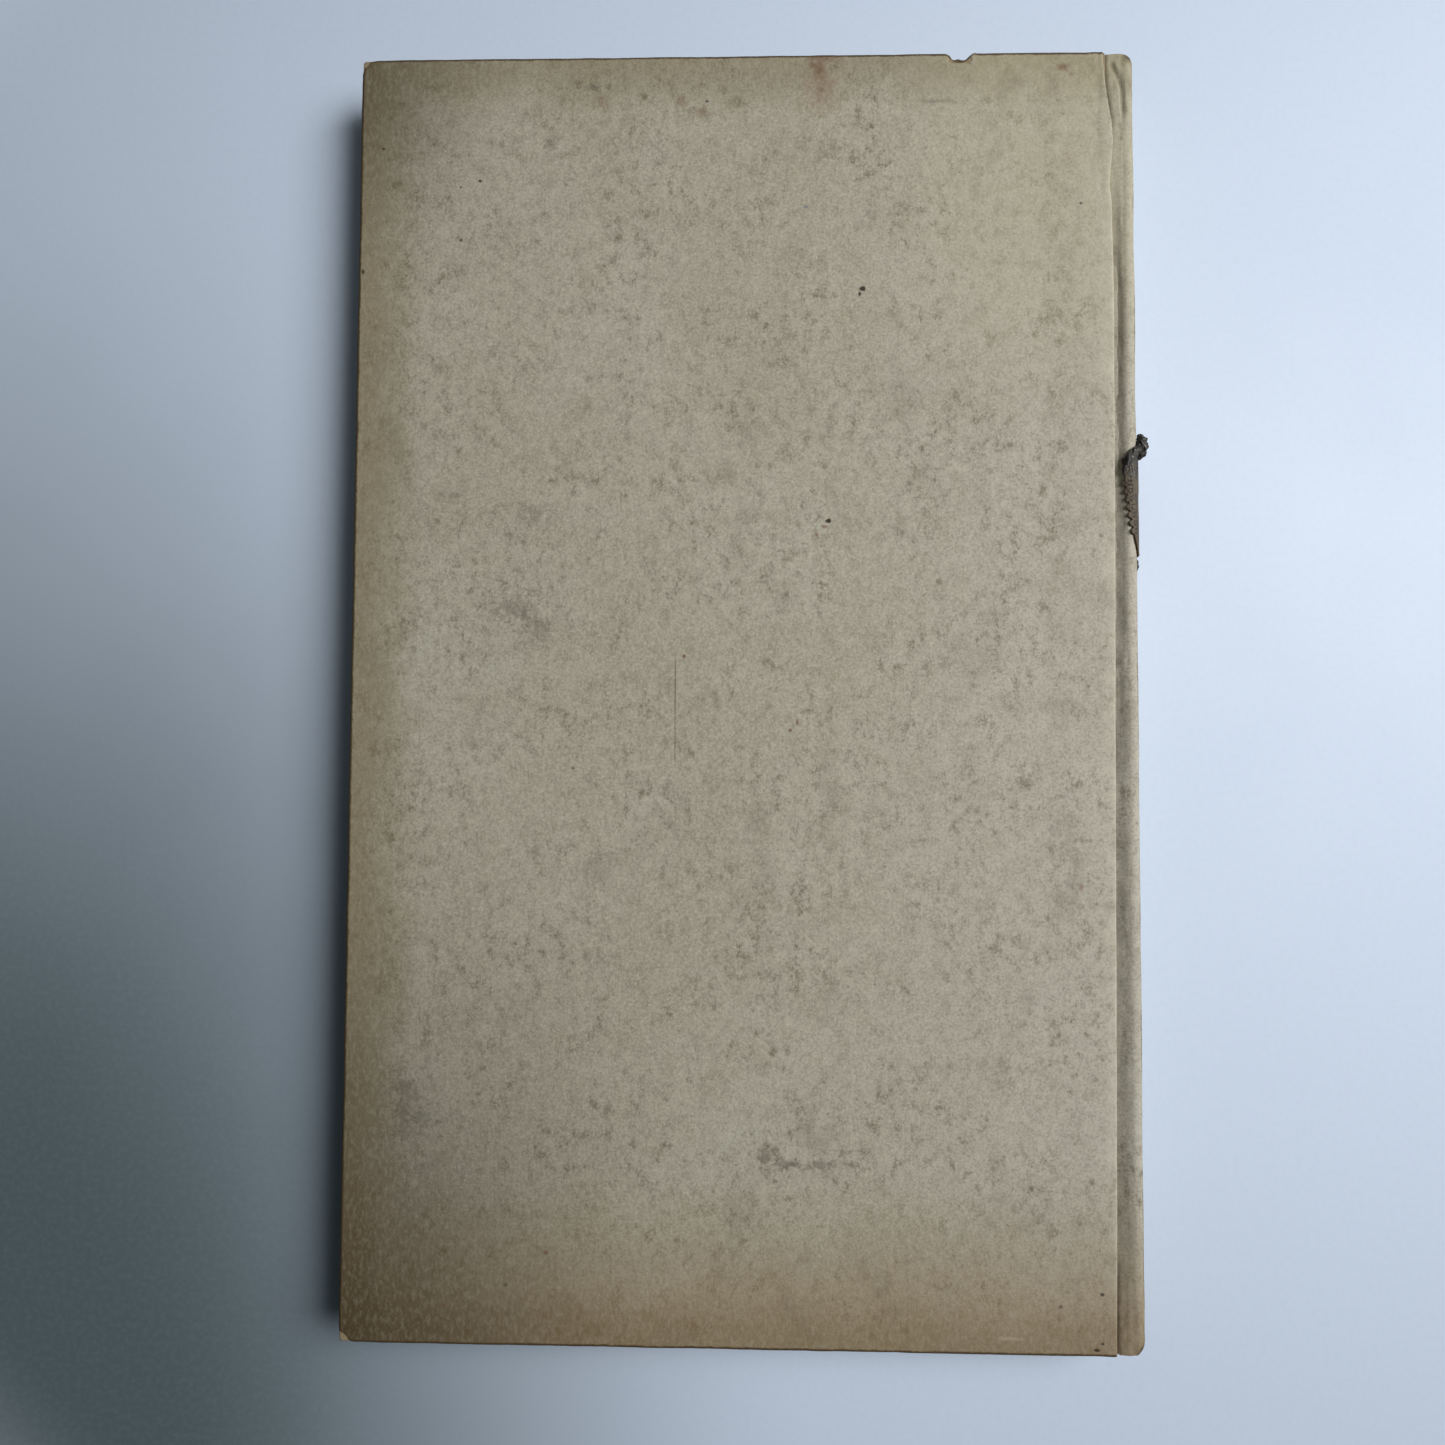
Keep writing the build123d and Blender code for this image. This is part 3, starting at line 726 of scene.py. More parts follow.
def sheet_columns(dented):
    """Each column of the sheet: where it lies at rest, its way down round an edge, and how deep."""
    line, normal = case_skin(0.0)
    x, z = list(line[:, 0]), list(line[:, 1])
    down = [(-n[0], -n[1]) for n in normal]
    drop = list(np.linspace(1.0, 0.34, len(x)))
    for px, pz in [(-3.3, 3.75), (-3.62, 3.77), (-3.8, 3.86), (-3.9, 4.1), (-3.95, 4.5), (-3.98, 5.0), (-4.0, 5.5)]:
        x.append(px)
        z.append(pz)
        down.append((0.0, -1.0))
        drop.append(max(0.33, pz - 3.42))
    for angle in np.radians([0, 25, 50, 70, 90]):
        x.append(-4.5 + 0.48 * math.cos(angle))
        z.append(FACE - 0.45 + 0.45 * math.sin(angle))
        down.append((0.0, -1.0))
        drop.append(z[-1] - BOARD_UNDER)
    joint_columns = len(x)
    inner = FORE_EDGE + EDGE
    fine = [-4.9, -5.4, -6.1]
    if dented:
        spread = list(np.arange(-6.9, -25.0, -0.9)) + list(np.arange(-25.5, -35.0, -0.22))
        fine += spread + list(np.arange(-35.4, inner + 0.5, -0.92))
    else:
        fine += list(np.arange(-6.9, inner + 0.5, -0.95))
    for px in fine + [inner]:
        x.append(px)
        z.append(FACE)
        down.append((0.0, -1.0))
        drop.append(FACE - BOARD_UNDER)
    return np.array(x), np.array(z), np.array(down), np.array(drop), joint_columns


def sheet_rows():
    """The rows across the sheet from tail to head, closer near the ends."""
    inner = HALF_TALL - EDGE
    ends = inner - np.array([0.3, 0.65, 1.05, 1.5, 2.0, 2.6, 3.3])
    middle = np.linspace(-(inner - 4.2), inner - 4.2, 246)
    return np.concatenate([[-inner], -ends, middle, ends[::-1], [inner]])


# How far the fold at the back joint wanders from a straight line, by place from tail to head
FOLD_PLACES = (-112, -90, -55, -6, 14, 50, 70, 80, 87, 90, 95, 98, 102, 106, 110, 113)
FOLD_SHIFTS = (0.05, 0.25, 0.45, 0.7, 0.9, 1.05, 1.1, 1.0, 0.85, 0.5, 0.9, 1.2, 0.9, 0.3, -0.2, -0.45)
# Creases in the paper near the head, each by places up the book and across the joint
SLANTED_CREASE = ((103.0, 106.0, 108.7, 110.5, 112.4), (-0.85, -0.95, -1.12, -1.8, -2.7))
RIDGE_CREASE = ((60.0, 84.0, 112.0), (-4.4, -4.9, -5.35))
# The dent in the head edge: its middle, its reach, and the ridge pushed up beside it
DENT_X, DENT_REACH, DENT_RIDGE_X = -30.1, 2.3, -27.6


# How far the spine's corners are rubbed back at the head and at the tail
HEAD_RUB, TAIL_RUB = 2.7, 1.6


def spine_end(x):
    """How far the sheet's end is rubbed back at a place across the spine, at head and tail."""
    head = np.where(x > -1.25, HEAD_RUB - np.sqrt(np.maximum(HEAD_RUB**2 - (x + 1.25) ** 2, 0.01)), 0.0)
    tail = np.clip(x - (SPINE_BULGE - TAIL_RUB), 0, TAIL_RUB)
    return head, tail


def covering_sheet(name, side, seed):
    """One half of the covering paper, with its wrapped edges, wear, dent and waves."""
    dented = side > 0
    x, z, down, drop, joint_columns = sheet_columns(dented)
    rows = sheet_rows()
    round_by = np.minimum(0.45, drop * 0.42)
    reach, depth = wrap_steps(drop, round_by)
    wraps = len(reach)
    head_back, tail_back = spine_end(x)

    # The flat part of the grid: rows from tail to head, columns from spine to fore-edge
    grid_x, grid_y, grid_z = section_grid(x, z, rows)
    near_head = ease(rows, 104.0, HALF_TALL - EDGE)[:, None]
    near_tail = ease(-rows, 104.0, HALF_TALL - EDGE)[:, None]
    grid_y = grid_y - near_head * head_back + near_tail * tail_back
    flat = np.stack([grid_x, grid_y, grid_z], -1)

    def end_rows(edge_row, way):
        """The rows that turn round the head or the tail."""
        made = []
        for step in range(wraps):
            row = edge_row.copy()
            row[:, 1] += way * reach[step]
            row[:, 0] += down[:, 0] * depth[step]
            row[:, 2] += down[:, 1] * depth[step]
            made.append(row)
        return made

    tail_rows = end_rows(flat[0], -1.0)[::-1]
    head_rows = end_rows(flat[-1], 1.0)
    grid = np.concatenate([np.stack(tail_rows), flat, np.stack(head_rows)])
    row_step = np.concatenate([-np.arange(wraps, 0, -1), np.zeros(len(rows)), np.arange(1, wraps + 1)]).astype(int)

    # Columns that turn round the fore-edge, with a fan at each corner
    board_drop = FACE - BOARD_UNDER
    fore_reach, fore_depth = wrap_steps(np.array([board_drop]), np.array([0.45]))
    fore = []
    for step in range(1, wraps + 1):
        column = grid[:, -1].copy()
        for r, turn in enumerate(row_step):
            most = max(step, abs(turn))
            out = fore_reach[most - 1]
            sideways = np.array([-step, turn], float)
            sideways /= np.linalg.norm(sideways)
            base_y = np.clip(grid[r, -1, 1], -(HALF_TALL - EDGE), HALF_TALL - EDGE)
            column[r] = (
                FORE_EDGE + EDGE + sideways[0] * out,
                base_y + sideways[1] * out,
                FACE - fore_depth[most - 1][0],
            )
        fore.append(column)
    grid = np.concatenate([grid, np.stack(fore, 1)], 1)

    # The sheet's inner face across joint and spine, which closes the hollow back's ends
    inner_row = grid[[0, -1], :joint_columns]
    inner = np.empty((len(rows), joint_columns, 3))
    share = ((rows + HALF_TALL - EDGE) / (2 * (HALF_TALL - EDGE)))[:, None]
    inner[..., 1] = grid[wraps : wraps + len(rows), :joint_columns, 1]
    for axis in (0, 2):
        inner[..., axis] = inner_row[0][:, axis] * (1 - share) + inner_row[1][:, axis] * share

    # Waves, dents and wear
    px, py, pz = grid[..., 0], grid[..., 1], grid[..., 2]
    to_fore = px - FORE_EDGE
    to_end = HALF_TALL - np.abs(py)
    on_board = ease(px, -4.3, -6.0)
    wave = 0.035 * ripple(px, py, 34, seed) + 0.02 * ripple(px, py, 11, seed + 1)
    wave = wave + 0.008 * ripple(px, py, 3.1, seed + 2)
    top = ease(pz, FACE - 0.7, FACE - 0.05)
    grid[..., 2] += np.minimum(wave - 0.03, 0.0) * top * on_board
    joint = ease(px, -4.3, -3.9) * ease(pz, 3.0, 3.6)
    bridge = 4.15 + (px + 3.75) * 0.36
    grid[..., 2] += joint * np.maximum(bridge - pz, 0.0) * ease(px, -0.4, -1.4)
    filled = np.maximum(ease(py, 66.0, 98.0) * 0.8, ease(-py, 98.0, 112.0)) * joint
    filled *= ease(px, -0.6, -1.6)
    grid[..., 2] += filled * np.maximum(5.25 - pz, 0.0) * 0.85
    crumple = 0.11 * ripple(px * 1.5, py, 5.5, seed + 3) + 0.06 * ripple(px * 2, py, 1.9, seed + 4)
    grid[..., 2] += np.minimum(crumple * joint, 0.08)
    grid[..., 0] += 0.07 * run(py, 9, seed + 5) * joint - 0.03 * joint
    end_wear = 0.06 * run(px, 4.2, seed + 6) - 0.05 * np.abs(run(px, 1.3, seed + 7))
    grid[..., 1] += np.sign(py) * np.minimum(end_wear, 0) * ease(to_end, 1.2, 0.2)
    fore_wear = 0.05 * run(py, 5.1, seed + 8) - 0.05 * np.abs(run(py, 1.5, seed + 9))
    grid[..., 0] -= np.minimum(fore_wear, 0) * ease(to_fore, 1.2, 0.2)
    corner = ease(np.hypot(to_fore, to_end), 3.2, 0.3)
    grid[..., 2] -= corner * 0.28 * top
    grid[..., 0] += corner * (0.16 + 0.1 * ripple(px, py, 0.7, seed + 10))
    grid[..., 1] -= np.sign(py) * corner * 0.14

    pressed = np.zeros_like(px)
    if dented:
        along = (px - DENT_X) / DENT_REACH
        lean = ease(np.abs(along + 0.12 * ripple(py * 3, px, 1.1, 9)), 1.15, 0.35)
        into = HALF_TALL - py
        pressed = lean * ease(into, 2.3, 0.9)
        push = 0.62 * lean * ease(into, 1.9, 0.4)
        grid[..., 1] -= push
        grid[..., 2] -= (0.75 + 0.3 * ripple(px, py, 0.55, 21)) * pressed * ease(pz, 4.2, FACE)
        ridge = ease(np.abs(px - DENT_RIDGE_X + 0.15 * (HALF_TALL - py)), 0.75, 0.1) * ease(into, 2.8, 1.2)
        grid[..., 2] += 0.16 * ridge * top

    edge = np.maximum(ease(to_fore, 0.95, 0.25), ease(to_end, 0.95, 0.25))
    edge = edge * ease(px, -3.2, -4.2) * (0.55 + 0.45 * ease(pz, FACE - 1.6, FACE - 0.1))
    edge = np.maximum(edge, corner)
    edge = np.maximum(edge, pressed * 0.8)
    spine_corner = ease(to_end, 3.0, 0.6) * ease(px, -2.4, 0.4)
    edge = np.maximum(edge, spine_corner * 0.85)
    shoulder = ease(px, 0.35, 1.1) * ease(pz, 2.2, 3.6)
    rubbed_run = 0.35 + 0.5 * run(py, 13.0, seed + 14) + 0.35 * run(py, 3.3, seed + 15)
    edge = np.maximum(edge, shoulder * np.clip(rubbed_run, 0.0, 0.62))
    # Painted highlights, carried by the ridge attribute: along the board's edge by the joint, on the spine's crest
    # and beside the dent.
    board_edge_highlight = ease(px, -7.0, -4.8) * top * ease(np.abs(py), 112.0, 86.0)
    crest = ease(np.abs(px + 0.4), 1.0, 0.2) * ease(pz, 4.6, 5.2)
    painted_ridge_highlight = np.maximum(board_edge_highlight * 0.8, crest * 0.1) * (0.75 + 0.25 * ripple(px, py, 3.0, seed + 12))
    if dented:
        on_ridge = ease(np.abs(px - DENT_RIDGE_X), 0.6, 0.1) * ease(HALF_TALL - py, 2.8, 1.2)
        painted_ridge_highlight = np.maximum(painted_ridge_highlight, 0.5 * on_ridge)
    fold = ease(np.abs(px + 3.85 + 0.12 * run(py, 3.0, seed + 13)), 0.4, 0.05) * ease(px, -4.3, -3.9)
    slit_head = ease(py, 98.0, 106.0)
    slit_tail = ease(py, -98.0, -103.0)
    cracks_and_groove_shade = fold * (0.28 + 0.72 * np.maximum(slit_head, slit_tail))
    wander = np.interp(py, FOLD_PLACES, FOLD_SHIFTS) * (1.0 if dented else 0.5)
    moved = px + wander * ease(px, -0.4, -3.5) * ease(px, -9.5, -5.0)
    # Painted shade with dirt: the joint's groove is darkened, carried by the crack attribute.
    groove_dirt_and_shade = ease(px, -0.8, -3.3) * ease(px, -4.3, -3.9) * ease(py, 96.0, 80.0)
    cracks_and_groove_shade = np.maximum(cracks_and_groove_shade, 0.42 * groove_dirt_and_shade)
    crescent = ease(to_end, 1.1, 0.3) * ease(px, -1.2, 0.4)
    cracks_and_groove_shade = np.maximum(cracks_and_groove_shade, 0.75 * crescent)
    if dented:
        slant = ease(np.abs(moved - np.interp(py, *SLANTED_CREASE)), 0.6, 0.1)
        slant *= ease(py, 102.5, 104.5) * ease(py, 113.6, 112.2)
        cracks_and_groove_shade = np.maximum(cracks_and_groove_shade, 0.6 * slant)
        beside = ease(np.abs(moved - np.interp(py, *RIDGE_CREASE)), 0.45, 0.05) * ease(py, 62.0, 84.0) * top
        cracks_and_groove_shade = np.maximum(cracks_and_groove_shade, 0.22 * beside)
        grid[..., 2] -= (0.28 * slant + 0.12 * beside) * ease(pz, 3.6, 4.4)
        low = ease(np.abs(px + 2.3 - 0.4 * run(py, 11.0, 33)), 0.35, 0.05)
        cracks_and_groove_shade = np.maximum(cracks_and_groove_shade, 0.4 * low * ease(py, -97.0, -105.0))
    open_slit = 0.5 * np.maximum(slit_head, slit_tail) * fold
    grid[..., 2] -= (0.15 * cracks_and_groove_shade + open_slit) * ease(pz, 3.3, 3.7) * ease(px, -4.4, -3.6)
    grid[..., 2] = np.minimum(grid[..., 2], FACE)
    grid[..., 0] = moved
    outer_z = grid[wraps : wraps + len(rows), :joint_columns, 2]
    follows = ease(x[:joint_columns], -1.3, -2.2)[None, :] * (x[:joint_columns] > -3.85)[None, :]
    follows = follows * ease(HALF_TALL - np.abs(rows), 1.0, 4.0)[:, None]
    inner[..., 2] += follows * np.maximum(outer_z - 0.3 - inner[..., 2], 0.0)

    # Faces, with the inner face joined on as more rows of the same columns
    total_rows, total_columns, _ = grid.shape
    points = np.concatenate([grid.reshape(-1, 3), inner.reshape(-1, 3)])
    faces = [grid_faces(total_rows, total_columns)]
    first = total_rows * total_columns
    faces.append(grid_faces(len(rows), joint_columns, first)[:, ::-1])
    span = np.arange(joint_columns - 1)
    head_outer = (total_rows - 1) * total_columns + span
    head_inner = first + (len(rows) - 1) * joint_columns + span
    faces.append(np.stack([head_outer, head_outer + 1, head_inner + 1, head_inner], -1))
    tail_inner = first + span
    faces.append(np.stack([tail_inner, tail_inner + 1, span + 1, span], -1))
    faces = np.concatenate(faces)[:, ::-1]
    extra = np.zeros(inner.shape[0] * inner.shape[1])
    values = {
        "edge": np.concatenate([edge.ravel(), extra]),
        "ridge": np.concatenate([np.clip(painted_ridge_highlight, 0, 1).ravel(), extra]),
        "cracks_and_groove_shade": np.concatenate([np.clip(cracks_and_groove_shade, 0, 1).ravel(), extra]),
    }
    if side < 0:
        points[:, 2] *= -1
        faces = faces[:, ::-1]
    return mesh_object(name, to_frame(points), faces, values, cover_paper)


def bend_with(piece):
    """Bakes a sheet's placement into its mesh and gives the sheet back."""
    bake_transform(piece)
    return piece


def paper_strip(name, side, x, z, raised=None):
    """A thin sheet of endpaper whose section is given from one edge to the other."""
    to_head = np.linspace(97, 104, 9)
    rows = np.concatenate([[-LEAVES_TALL / 2], -to_head[::-1], np.linspace(-90, 90, 25), to_head, [LEAVES_TALL / 2]])
    grid_x, grid_y, grid_z = section_grid(x, z, rows)
    if raised is not None:
        grid_z += raised(grid_x, grid_y)
    middle = np.stack([grid_x, grid_y, grid_z * side], -1)
    if side > 0:
        middle = middle[::-1]
    return thick_sheet(name, middle, ENDPAPER * 0.9, endpaper_look)


# The endpapers' fore-edge, and the point of the leaves' outline at which the fold is split
PAPER_FORE = -135.4
CREST_POINT = 14


def pasted_endpaper(name, side):
    """The endpaper's pasted half: over the board's inside and through the gutter to the shoulder."""
    spread = [np.linspace(-126, -121, 8), np.linspace(-110, -36, 12), np.linspace(-31, -27.5, 6)]
    pasted_x = np.concatenate([[PAPER_FORE], *spread, [-20, -10, -6, -4.6]])
    outer, _ = leaves_skin(1.5 * ENDPAPER)
    gutter = outer[::-1][: len(outer) - CREST_POINT + 1]
    x = np.concatenate([pasted_x, gutter[:, 0]])
    z = np.concatenate([pasted_x * 0 + 3.325, gutter[:, 1]])

    def sunk(grid_x, grid_y):
        """It sinks between the turned-in paper and the cloth, on to the bare board."""
        return 0.21 * ease(np.abs(grid_y), 100.6, 99.0) * ease(grid_x, -124.5, -123.0) * ease(grid_x, -28.4, -29.8)

    return paper_strip(name, side, x, z, sunk)


def free_endpaper(name, side):
    """The endpaper's free leaf, which lies on the block from the shoulder to the fore-edge."""
    inner, _ = leaves_skin(0.5 * ENDPAPER)
    leaf = inner[CREST_POINT - 1 :]
    free_x = np.concatenate([[-3.4, -4.5, -8], np.linspace(-20, -134, 24), [PAPER_FORE]])
    x = np.concatenate([leaf[:, 0], free_x])[::-1]
    z = np.concatenate([leaf[:, 1], free_x * 0 + 3 + ENDPAPER / 2])[::-1]
    return paper_strip(name, side, x, z)


def mull_sheet(name, side):
    """The open cloth from the middle of the folds, down the joint and on to the board."""
    line, _ = skin(-0.2 + 0.125, -0.8, 4.0, 0.15 + 0.425, 2.15 - 0.425, 3.425, (8, 10, 8))
    x = np.concatenate([line[:, 0], [-3.4, -4.3, -5.0, -12, -20, -4.2 - MULL_EDGE + 0.3]])
    z = np.concatenate([line[:, 1], [3.43, 3.5, 3.53, 3.53, 3.53, 3.53]])
    grid_x, grid_y, grid_z = section_grid(x, z, np.linspace(-95.3, 95.3, 61))
    frayed = 0.35 * run(grid_y, 2.0, 41) * ease(grid_x, -24.0, -29.0)
    middle = np.stack([grid_x + frayed, grid_y, grid_z * side], -1)
    if side < 0:
        middle = middle[::-1]
    return thick_sheet(name, middle, 0.16, mull_look)


def turned_in_paper(name, side, seed):
    """The covering paper's margins, folded on to the board's inside with mitred corners."""
    near, far = FORE_EDGE + 0.45, HALF_TALL - 0.45
    outline, inward = [], []
    for px in np.linspace(-4.4, near, 60):
        outline.append((px, far))
        inward.append((0.0, -1.0))
    for py in np.linspace(far, -far, 90):
        outline.append((near, py))
        inward.append((1.0, 0.0))
    for px in np.linspace(near, -4.4, 60):
        outline.append((px, -far))
        inward.append((0.0, 1.0))
    outline, inward = np.array(outline), np.array(inward)
    wide = TURN_IN - 0.6 + 0.35 * ripple(np.arange(len(outline)), np.zeros(len(outline)), 7.0, seed)
    rows = []
    for share in np.linspace(0, 1, 6):
        to_head = far - np.abs(outline[:, 1])
        mitre = np.minimum(wide * share, np.where(inward[:, 0] != 0, to_head, outline[:, 0] - near))
        line = outline + inward * np.maximum(mitre, 0.0)[:, None]
        rows.append(np.column_stack([line, np.full(len(line), 3.555 * side)]))
    middle = np.stack(rows)
    if side > 0:
        middle = middle[::-1]
    return thick_sheet(name, middle, 0.15, cover_paper, {"edge": np.zeros(middle.shape[:2])})


# The leaves, by Geometry Nodes: one cut leaf repeated through the thickness of the block


def leaf_stack_tree():
    """Repeats a leaf upwards, each a little out of line, and bends the outer ones over the shoulders."""
    tree = bpy.data.node_groups.new("stacked leaves", "GeometryNodeTree")
    sockets = {}
    tree.interface.new_socket("Geometry", in_out="INPUT", socket_type="NodeSocketGeometry")
    for key, kind, value in (
        ("Leaf Count", "NodeSocketInt", LEAF_COUNT),
        ("Block Thickness", "NodeSocketFloat", 0.006),
        ("Unevenness", "NodeSocketFloat", 0.0001),
        ("Section Leaves", "NodeSocketInt", 8),
        ("Shoulder Rise", "NodeSocketFloat", 0.00115),
        ("Shoulder Line", "NodeSocketFloat", 0.06486),
        ("Joint Curve", "NodeSocketFloat", 0.00215),
        ("Spine Round", "NodeSocketFloat", 0.0006),
        ("Seed", "NodeSocketInt", 7),
        ("Material", "NodeSocketMaterial", None),
    ):
        socket = tree.interface.new_socket(key, in_out="INPUT", socket_type=kind)
        if value is not None:
            socket.default_value = value
        sockets[key] = socket.identifier
    tree.interface.new_socket("Geometry", in_out="OUTPUT", socket_type="NodeSocketGeometry")
    net = Net(tree)
    given = net.add("NodeGroupInput").outputs
    gap = net.over(given["Block Thickness"], given["Leaf Count"])
    half = net.times(given["Block Thickness"], 0.5)
    start = net.combine({2: net.minus(net.times(gap, 0.5), half)})
    offset = net.combine({2: gap})
    line = net.add(
        "GeometryNodeMeshLine", {"Count": given["Leaf Count"], "Start Location": start, "Offset": offset}
    ).outputs[0]
    index = net.add("GeometryNodeInputIndex").outputs[0]
    section = net.math("FLOOR", net.over(index, given["Section Leaves"]))
    least = net.times(given["Unevenness"], -1.0)

    def shake(identity, seed_by, share):
        low = net.times(least, share)
        high = net.times(given["Unevenness"], share)
        seed = net.plus(given["Seed"], float(seed_by))
        node = net.add("FunctionNodeRandomValue", data_type="FLOAT")
        for key, value in (("Min", low), ("Max", high), ("ID", identity), ("Seed", seed)):
            socket = next(s for s in node.inputs if s.name == key and s.enabled)
            net.link(value, socket)
        return next(s for s in node.outputs if s.enabled)

    aside = net.plus(shake(index, 1, 1.0), shake(section, 2, 1.3))
    endwise = net.plus(shake(index, 3, 0.7), shake(section, 4, 1.3))
    jog = net.combine({0: aside, 1: endwise})
    placed = net.add("GeometryNodeSetPosition", {"Geometry": line, "Offset": jog}).outputs[0]
    tone_node = net.add("FunctionNodeRandomValue", data_type="FLOAT")
    net.link(index, next(s for s in tone_node.inputs if s.name == "ID" and s.enabled))
    tone = next(s for s in tone_node.outputs if s.enabled)
    stored = {"Geometry": placed, "Name": "leaf_tone"}
    toned = net.add("GeometryNodeStoreNamedAttribute", stored, data_type="FLOAT", domain="POINT")
    net.link(tone, next(s for s in toned.inputs if s.name == "Value" and s.enabled))
    copied = {"Points": toned.outputs[0], "Instance": given["Geometry"]}
    stack = net.add("GeometryNodeInstanceOnPoints", copied).outputs[0]
    real = net.add("GeometryNodeRealizeInstances", {"Geometry": stack}).outputs[0]
    place = net.split(net.add("GeometryNodeInputPosition").outputs[0])
    level = net.over(place[2], half)
    past = net.most(net.minus(place[0], given["Shoulder Line"]), 0.0)
    arc = net.over(net.times(past, past), net.times(given["Joint Curve"], 2.0))
    lift = net.times(net.math("MINIMUM", arc, given["Shoulder Rise"]), level)
    bow = net.times(net.minus(1.0, net.times(level, level)), given["Spine Round"])
    shaped = net.add(
        "GeometryNodeSetPosition",
        {"Geometry": real, "Offset": net.combine({0: bow, 2: lift})},
    ).outputs[0]
    coated = net.add("GeometryNodeSetMaterial", {"Geometry": shaped, "Material": given["Material"]}).outputs[0]
    net.link(coated, net.add("NodeGroupOutput").inputs[0])
    return tree, sockets


def one_leaf():
    """A single leaf as a closed thin slab, with closer columns near the spine."""
    left, right = (HINGE_X + LEAVES_FORE) / 1000, (HINGE_X - 1.0) / 1000
    tall, thin = LEAVES_TALL / 2000, LEAVES / LEAF_COUNT / 2000 * 0.93
    xs = np.concatenate([np.linspace(left, 0.058, 10, endpoint=False), np.linspace(0.058, right, 12)])
    ys = np.linspace(-tall, tall, 30)
    grid_x, grid_y = np.meshgrid(xs, ys)
    flat = np.stack([grid_x, grid_y, np.zeros_like(grid_x)], -1)
    points = np.concatenate([(flat + [0, 0, thin]).reshape(-1, 3), (flat - [0, 0, thin]).reshape(-1, 3)])
    return mesh_object("leaf_pattern", points, slab_faces(*flat.shape[:2]), smooth=False)


def book_leaves():
    """The whole block of sewn leaves as one mesh."""
    leaf = one_leaf()
    tree, sockets = leaf_stack_tree()
    stack = leaf.modifiers.new("stack", "NODES")
    stack.node_group = tree
    stack[sockets["Leaf Count"]] = LEAF_COUNT
    stack[sockets["Block Thickness"]] = LEAVES / 1000
    stack[sockets["Unevenness"]] = 0.00007
    stack[sockets["Material"]] = leaves_look
    evaluated = leaf.evaluated_get(bpy.context.evaluated_depsgraph_get())
    mesh = bpy.data.meshes.new_from_object(evaluated)
    mesh.transform(Matrix.Translation((0, 0, MID_Z / 1000)))
    made = bpy.data.objects.new("book_leaves", mesh)
    bpy.context.scene.collection.objects.link(made)
    bpy.data.objects.remove(leaf)
    return made


# The spine label


LABEL_TAIL, LABEL_HEAD = 23.7, 41.0
SCALLOP_PITCH, SCALLOP_ROUND, SCALLOPS = 1.42, 0.52, 7
# The label's edge beyond the hinge line on the back, by place from tail to head
LABEL_EDGE_PLACES = (LABEL_TAIL, 27.3, 31.5, 37.2, LABEL_HEAD)
LABEL_EDGE = (1.15, 0.3, -0.45, -1.15, -1.6)


def label_edge(y):
    """Where the label's edge lies beyond the hinge line on the back, with its scallops."""
    edge = np.interp(y, LABEL_EDGE_PLACES, LABEL_EDGE)
    for number in range(SCALLOPS):
        centre_y = 36.4 - number * SCALLOP_PITCH
        edge = edge - np.sqrt(np.maximum(SCALLOP_ROUND**2 - (y - centre_y) ** 2, 0.0))
    return edge


def wrap_line(by):
    """The case's skin from the back joint round the spine to the front joint, by length."""
    upper, upper_n = case_skin(by, (40, 40, 30))
    line = np.concatenate([upper[::-1], upper[1:] * [1, -1]])
    normal = np.concatenate([upper_n[::-1], upper_n[1:] * [1, -1]])
    length = np.concatenate([[0], np.cumsum(np.linalg.norm(np.diff(line, axis=0), axis=1))])
    return line, normal, length


def label_sheet(name, side):
    """Half of the leather, from the middle of the spine over one shoulder."""
    line, normal, length = wrap_line(0.2)
    half = len(line) // 2
    if side < 0:
        line, normal = line[::-1], normal[::-1]
    middle_s = length[half]
    edge_x, edge_s = line[: half + 1, 0], length[: half + 1]
    ys = np.linspace(LABEL_TAIL, LABEL_HEAD, 190)
    share = np.linspace(0, 1, 36)
    middle = np.empty((len(ys), len(share), 3))
    tooling, edge_mask = np.zeros(middle.shape[:2]), np.zeros(middle.shape[:2])
    for r, y in enumerate(ys):
        at = y if side > 0 else LABEL_HEAD + LABEL_TAIL - y
        first = np.interp(min(label_edge(np.array(at)), 1.35), edge_x, edge_s)
        s = first + (middle_s - first) * share
        lift = 0.05 * ripple(s * side, s * 0 + y, 1.7, 51) * ease(middle_s - s, 0.0, 1.0)
        lift = lift + 0.12 * ease(s - first, 0.5, 0.0)
        for axis, column in ((0, 0), (1, 2)):
            base = np.interp(s, length, line[:, axis])
            out = np.interp(s, length, normal[:, axis])
            middle[r, :, column] = base + out * lift
        middle[r, :, 1] = y
        dots = np.abs(((y - LABEL_TAIL) / (SCALLOP_PITCH / 2)) % 1.0 - 0.5) < 0.25
        line_at = np.abs(s - first - 0.85) < 0.17
        rule = np.abs(s - first - 1.35) < 0.07
        tooling[r] = np.where((line_at & dots) | rule, 1.0, 0.0)
        edge_mask[r] = ease(s - first, 0.35, 0.0)
    charred = np.maximum(ease(middle[..., 1], 38.4, 40.8) * 0.9, edge_mask * 0.45)
    values = {"tooling": tooling, "edge": edge_mask * 0.8, "charred": charred}
    if side > 0:
        middle, values = middle[::-1].copy(), {k: v[::-1] for k, v in values.items()}
    return thick_sheet(name, middle, 0.3, leather, values)


def smooth_path(points, count):
    """A smooth line through a few points."""
    points = np.array(points, float)
    padded = np.concatenate([[2 * points[0] - points[1]], points, [2 * points[-1] - points[-2]]])
    made = []
    for t in np.linspace(0, len(points) - 1 - 1e-6, count):
        k, f = int(t), t - int(t)
        a, b, c, d = padded[k : k + 4]
        made.append(0.5 * (2 * b + (c - a) * f + (2 * a - 5 * b + 4 * c - d) * f**2 + (3 * b - a - 3 * c + d) * f**3))
    return np.array(made)


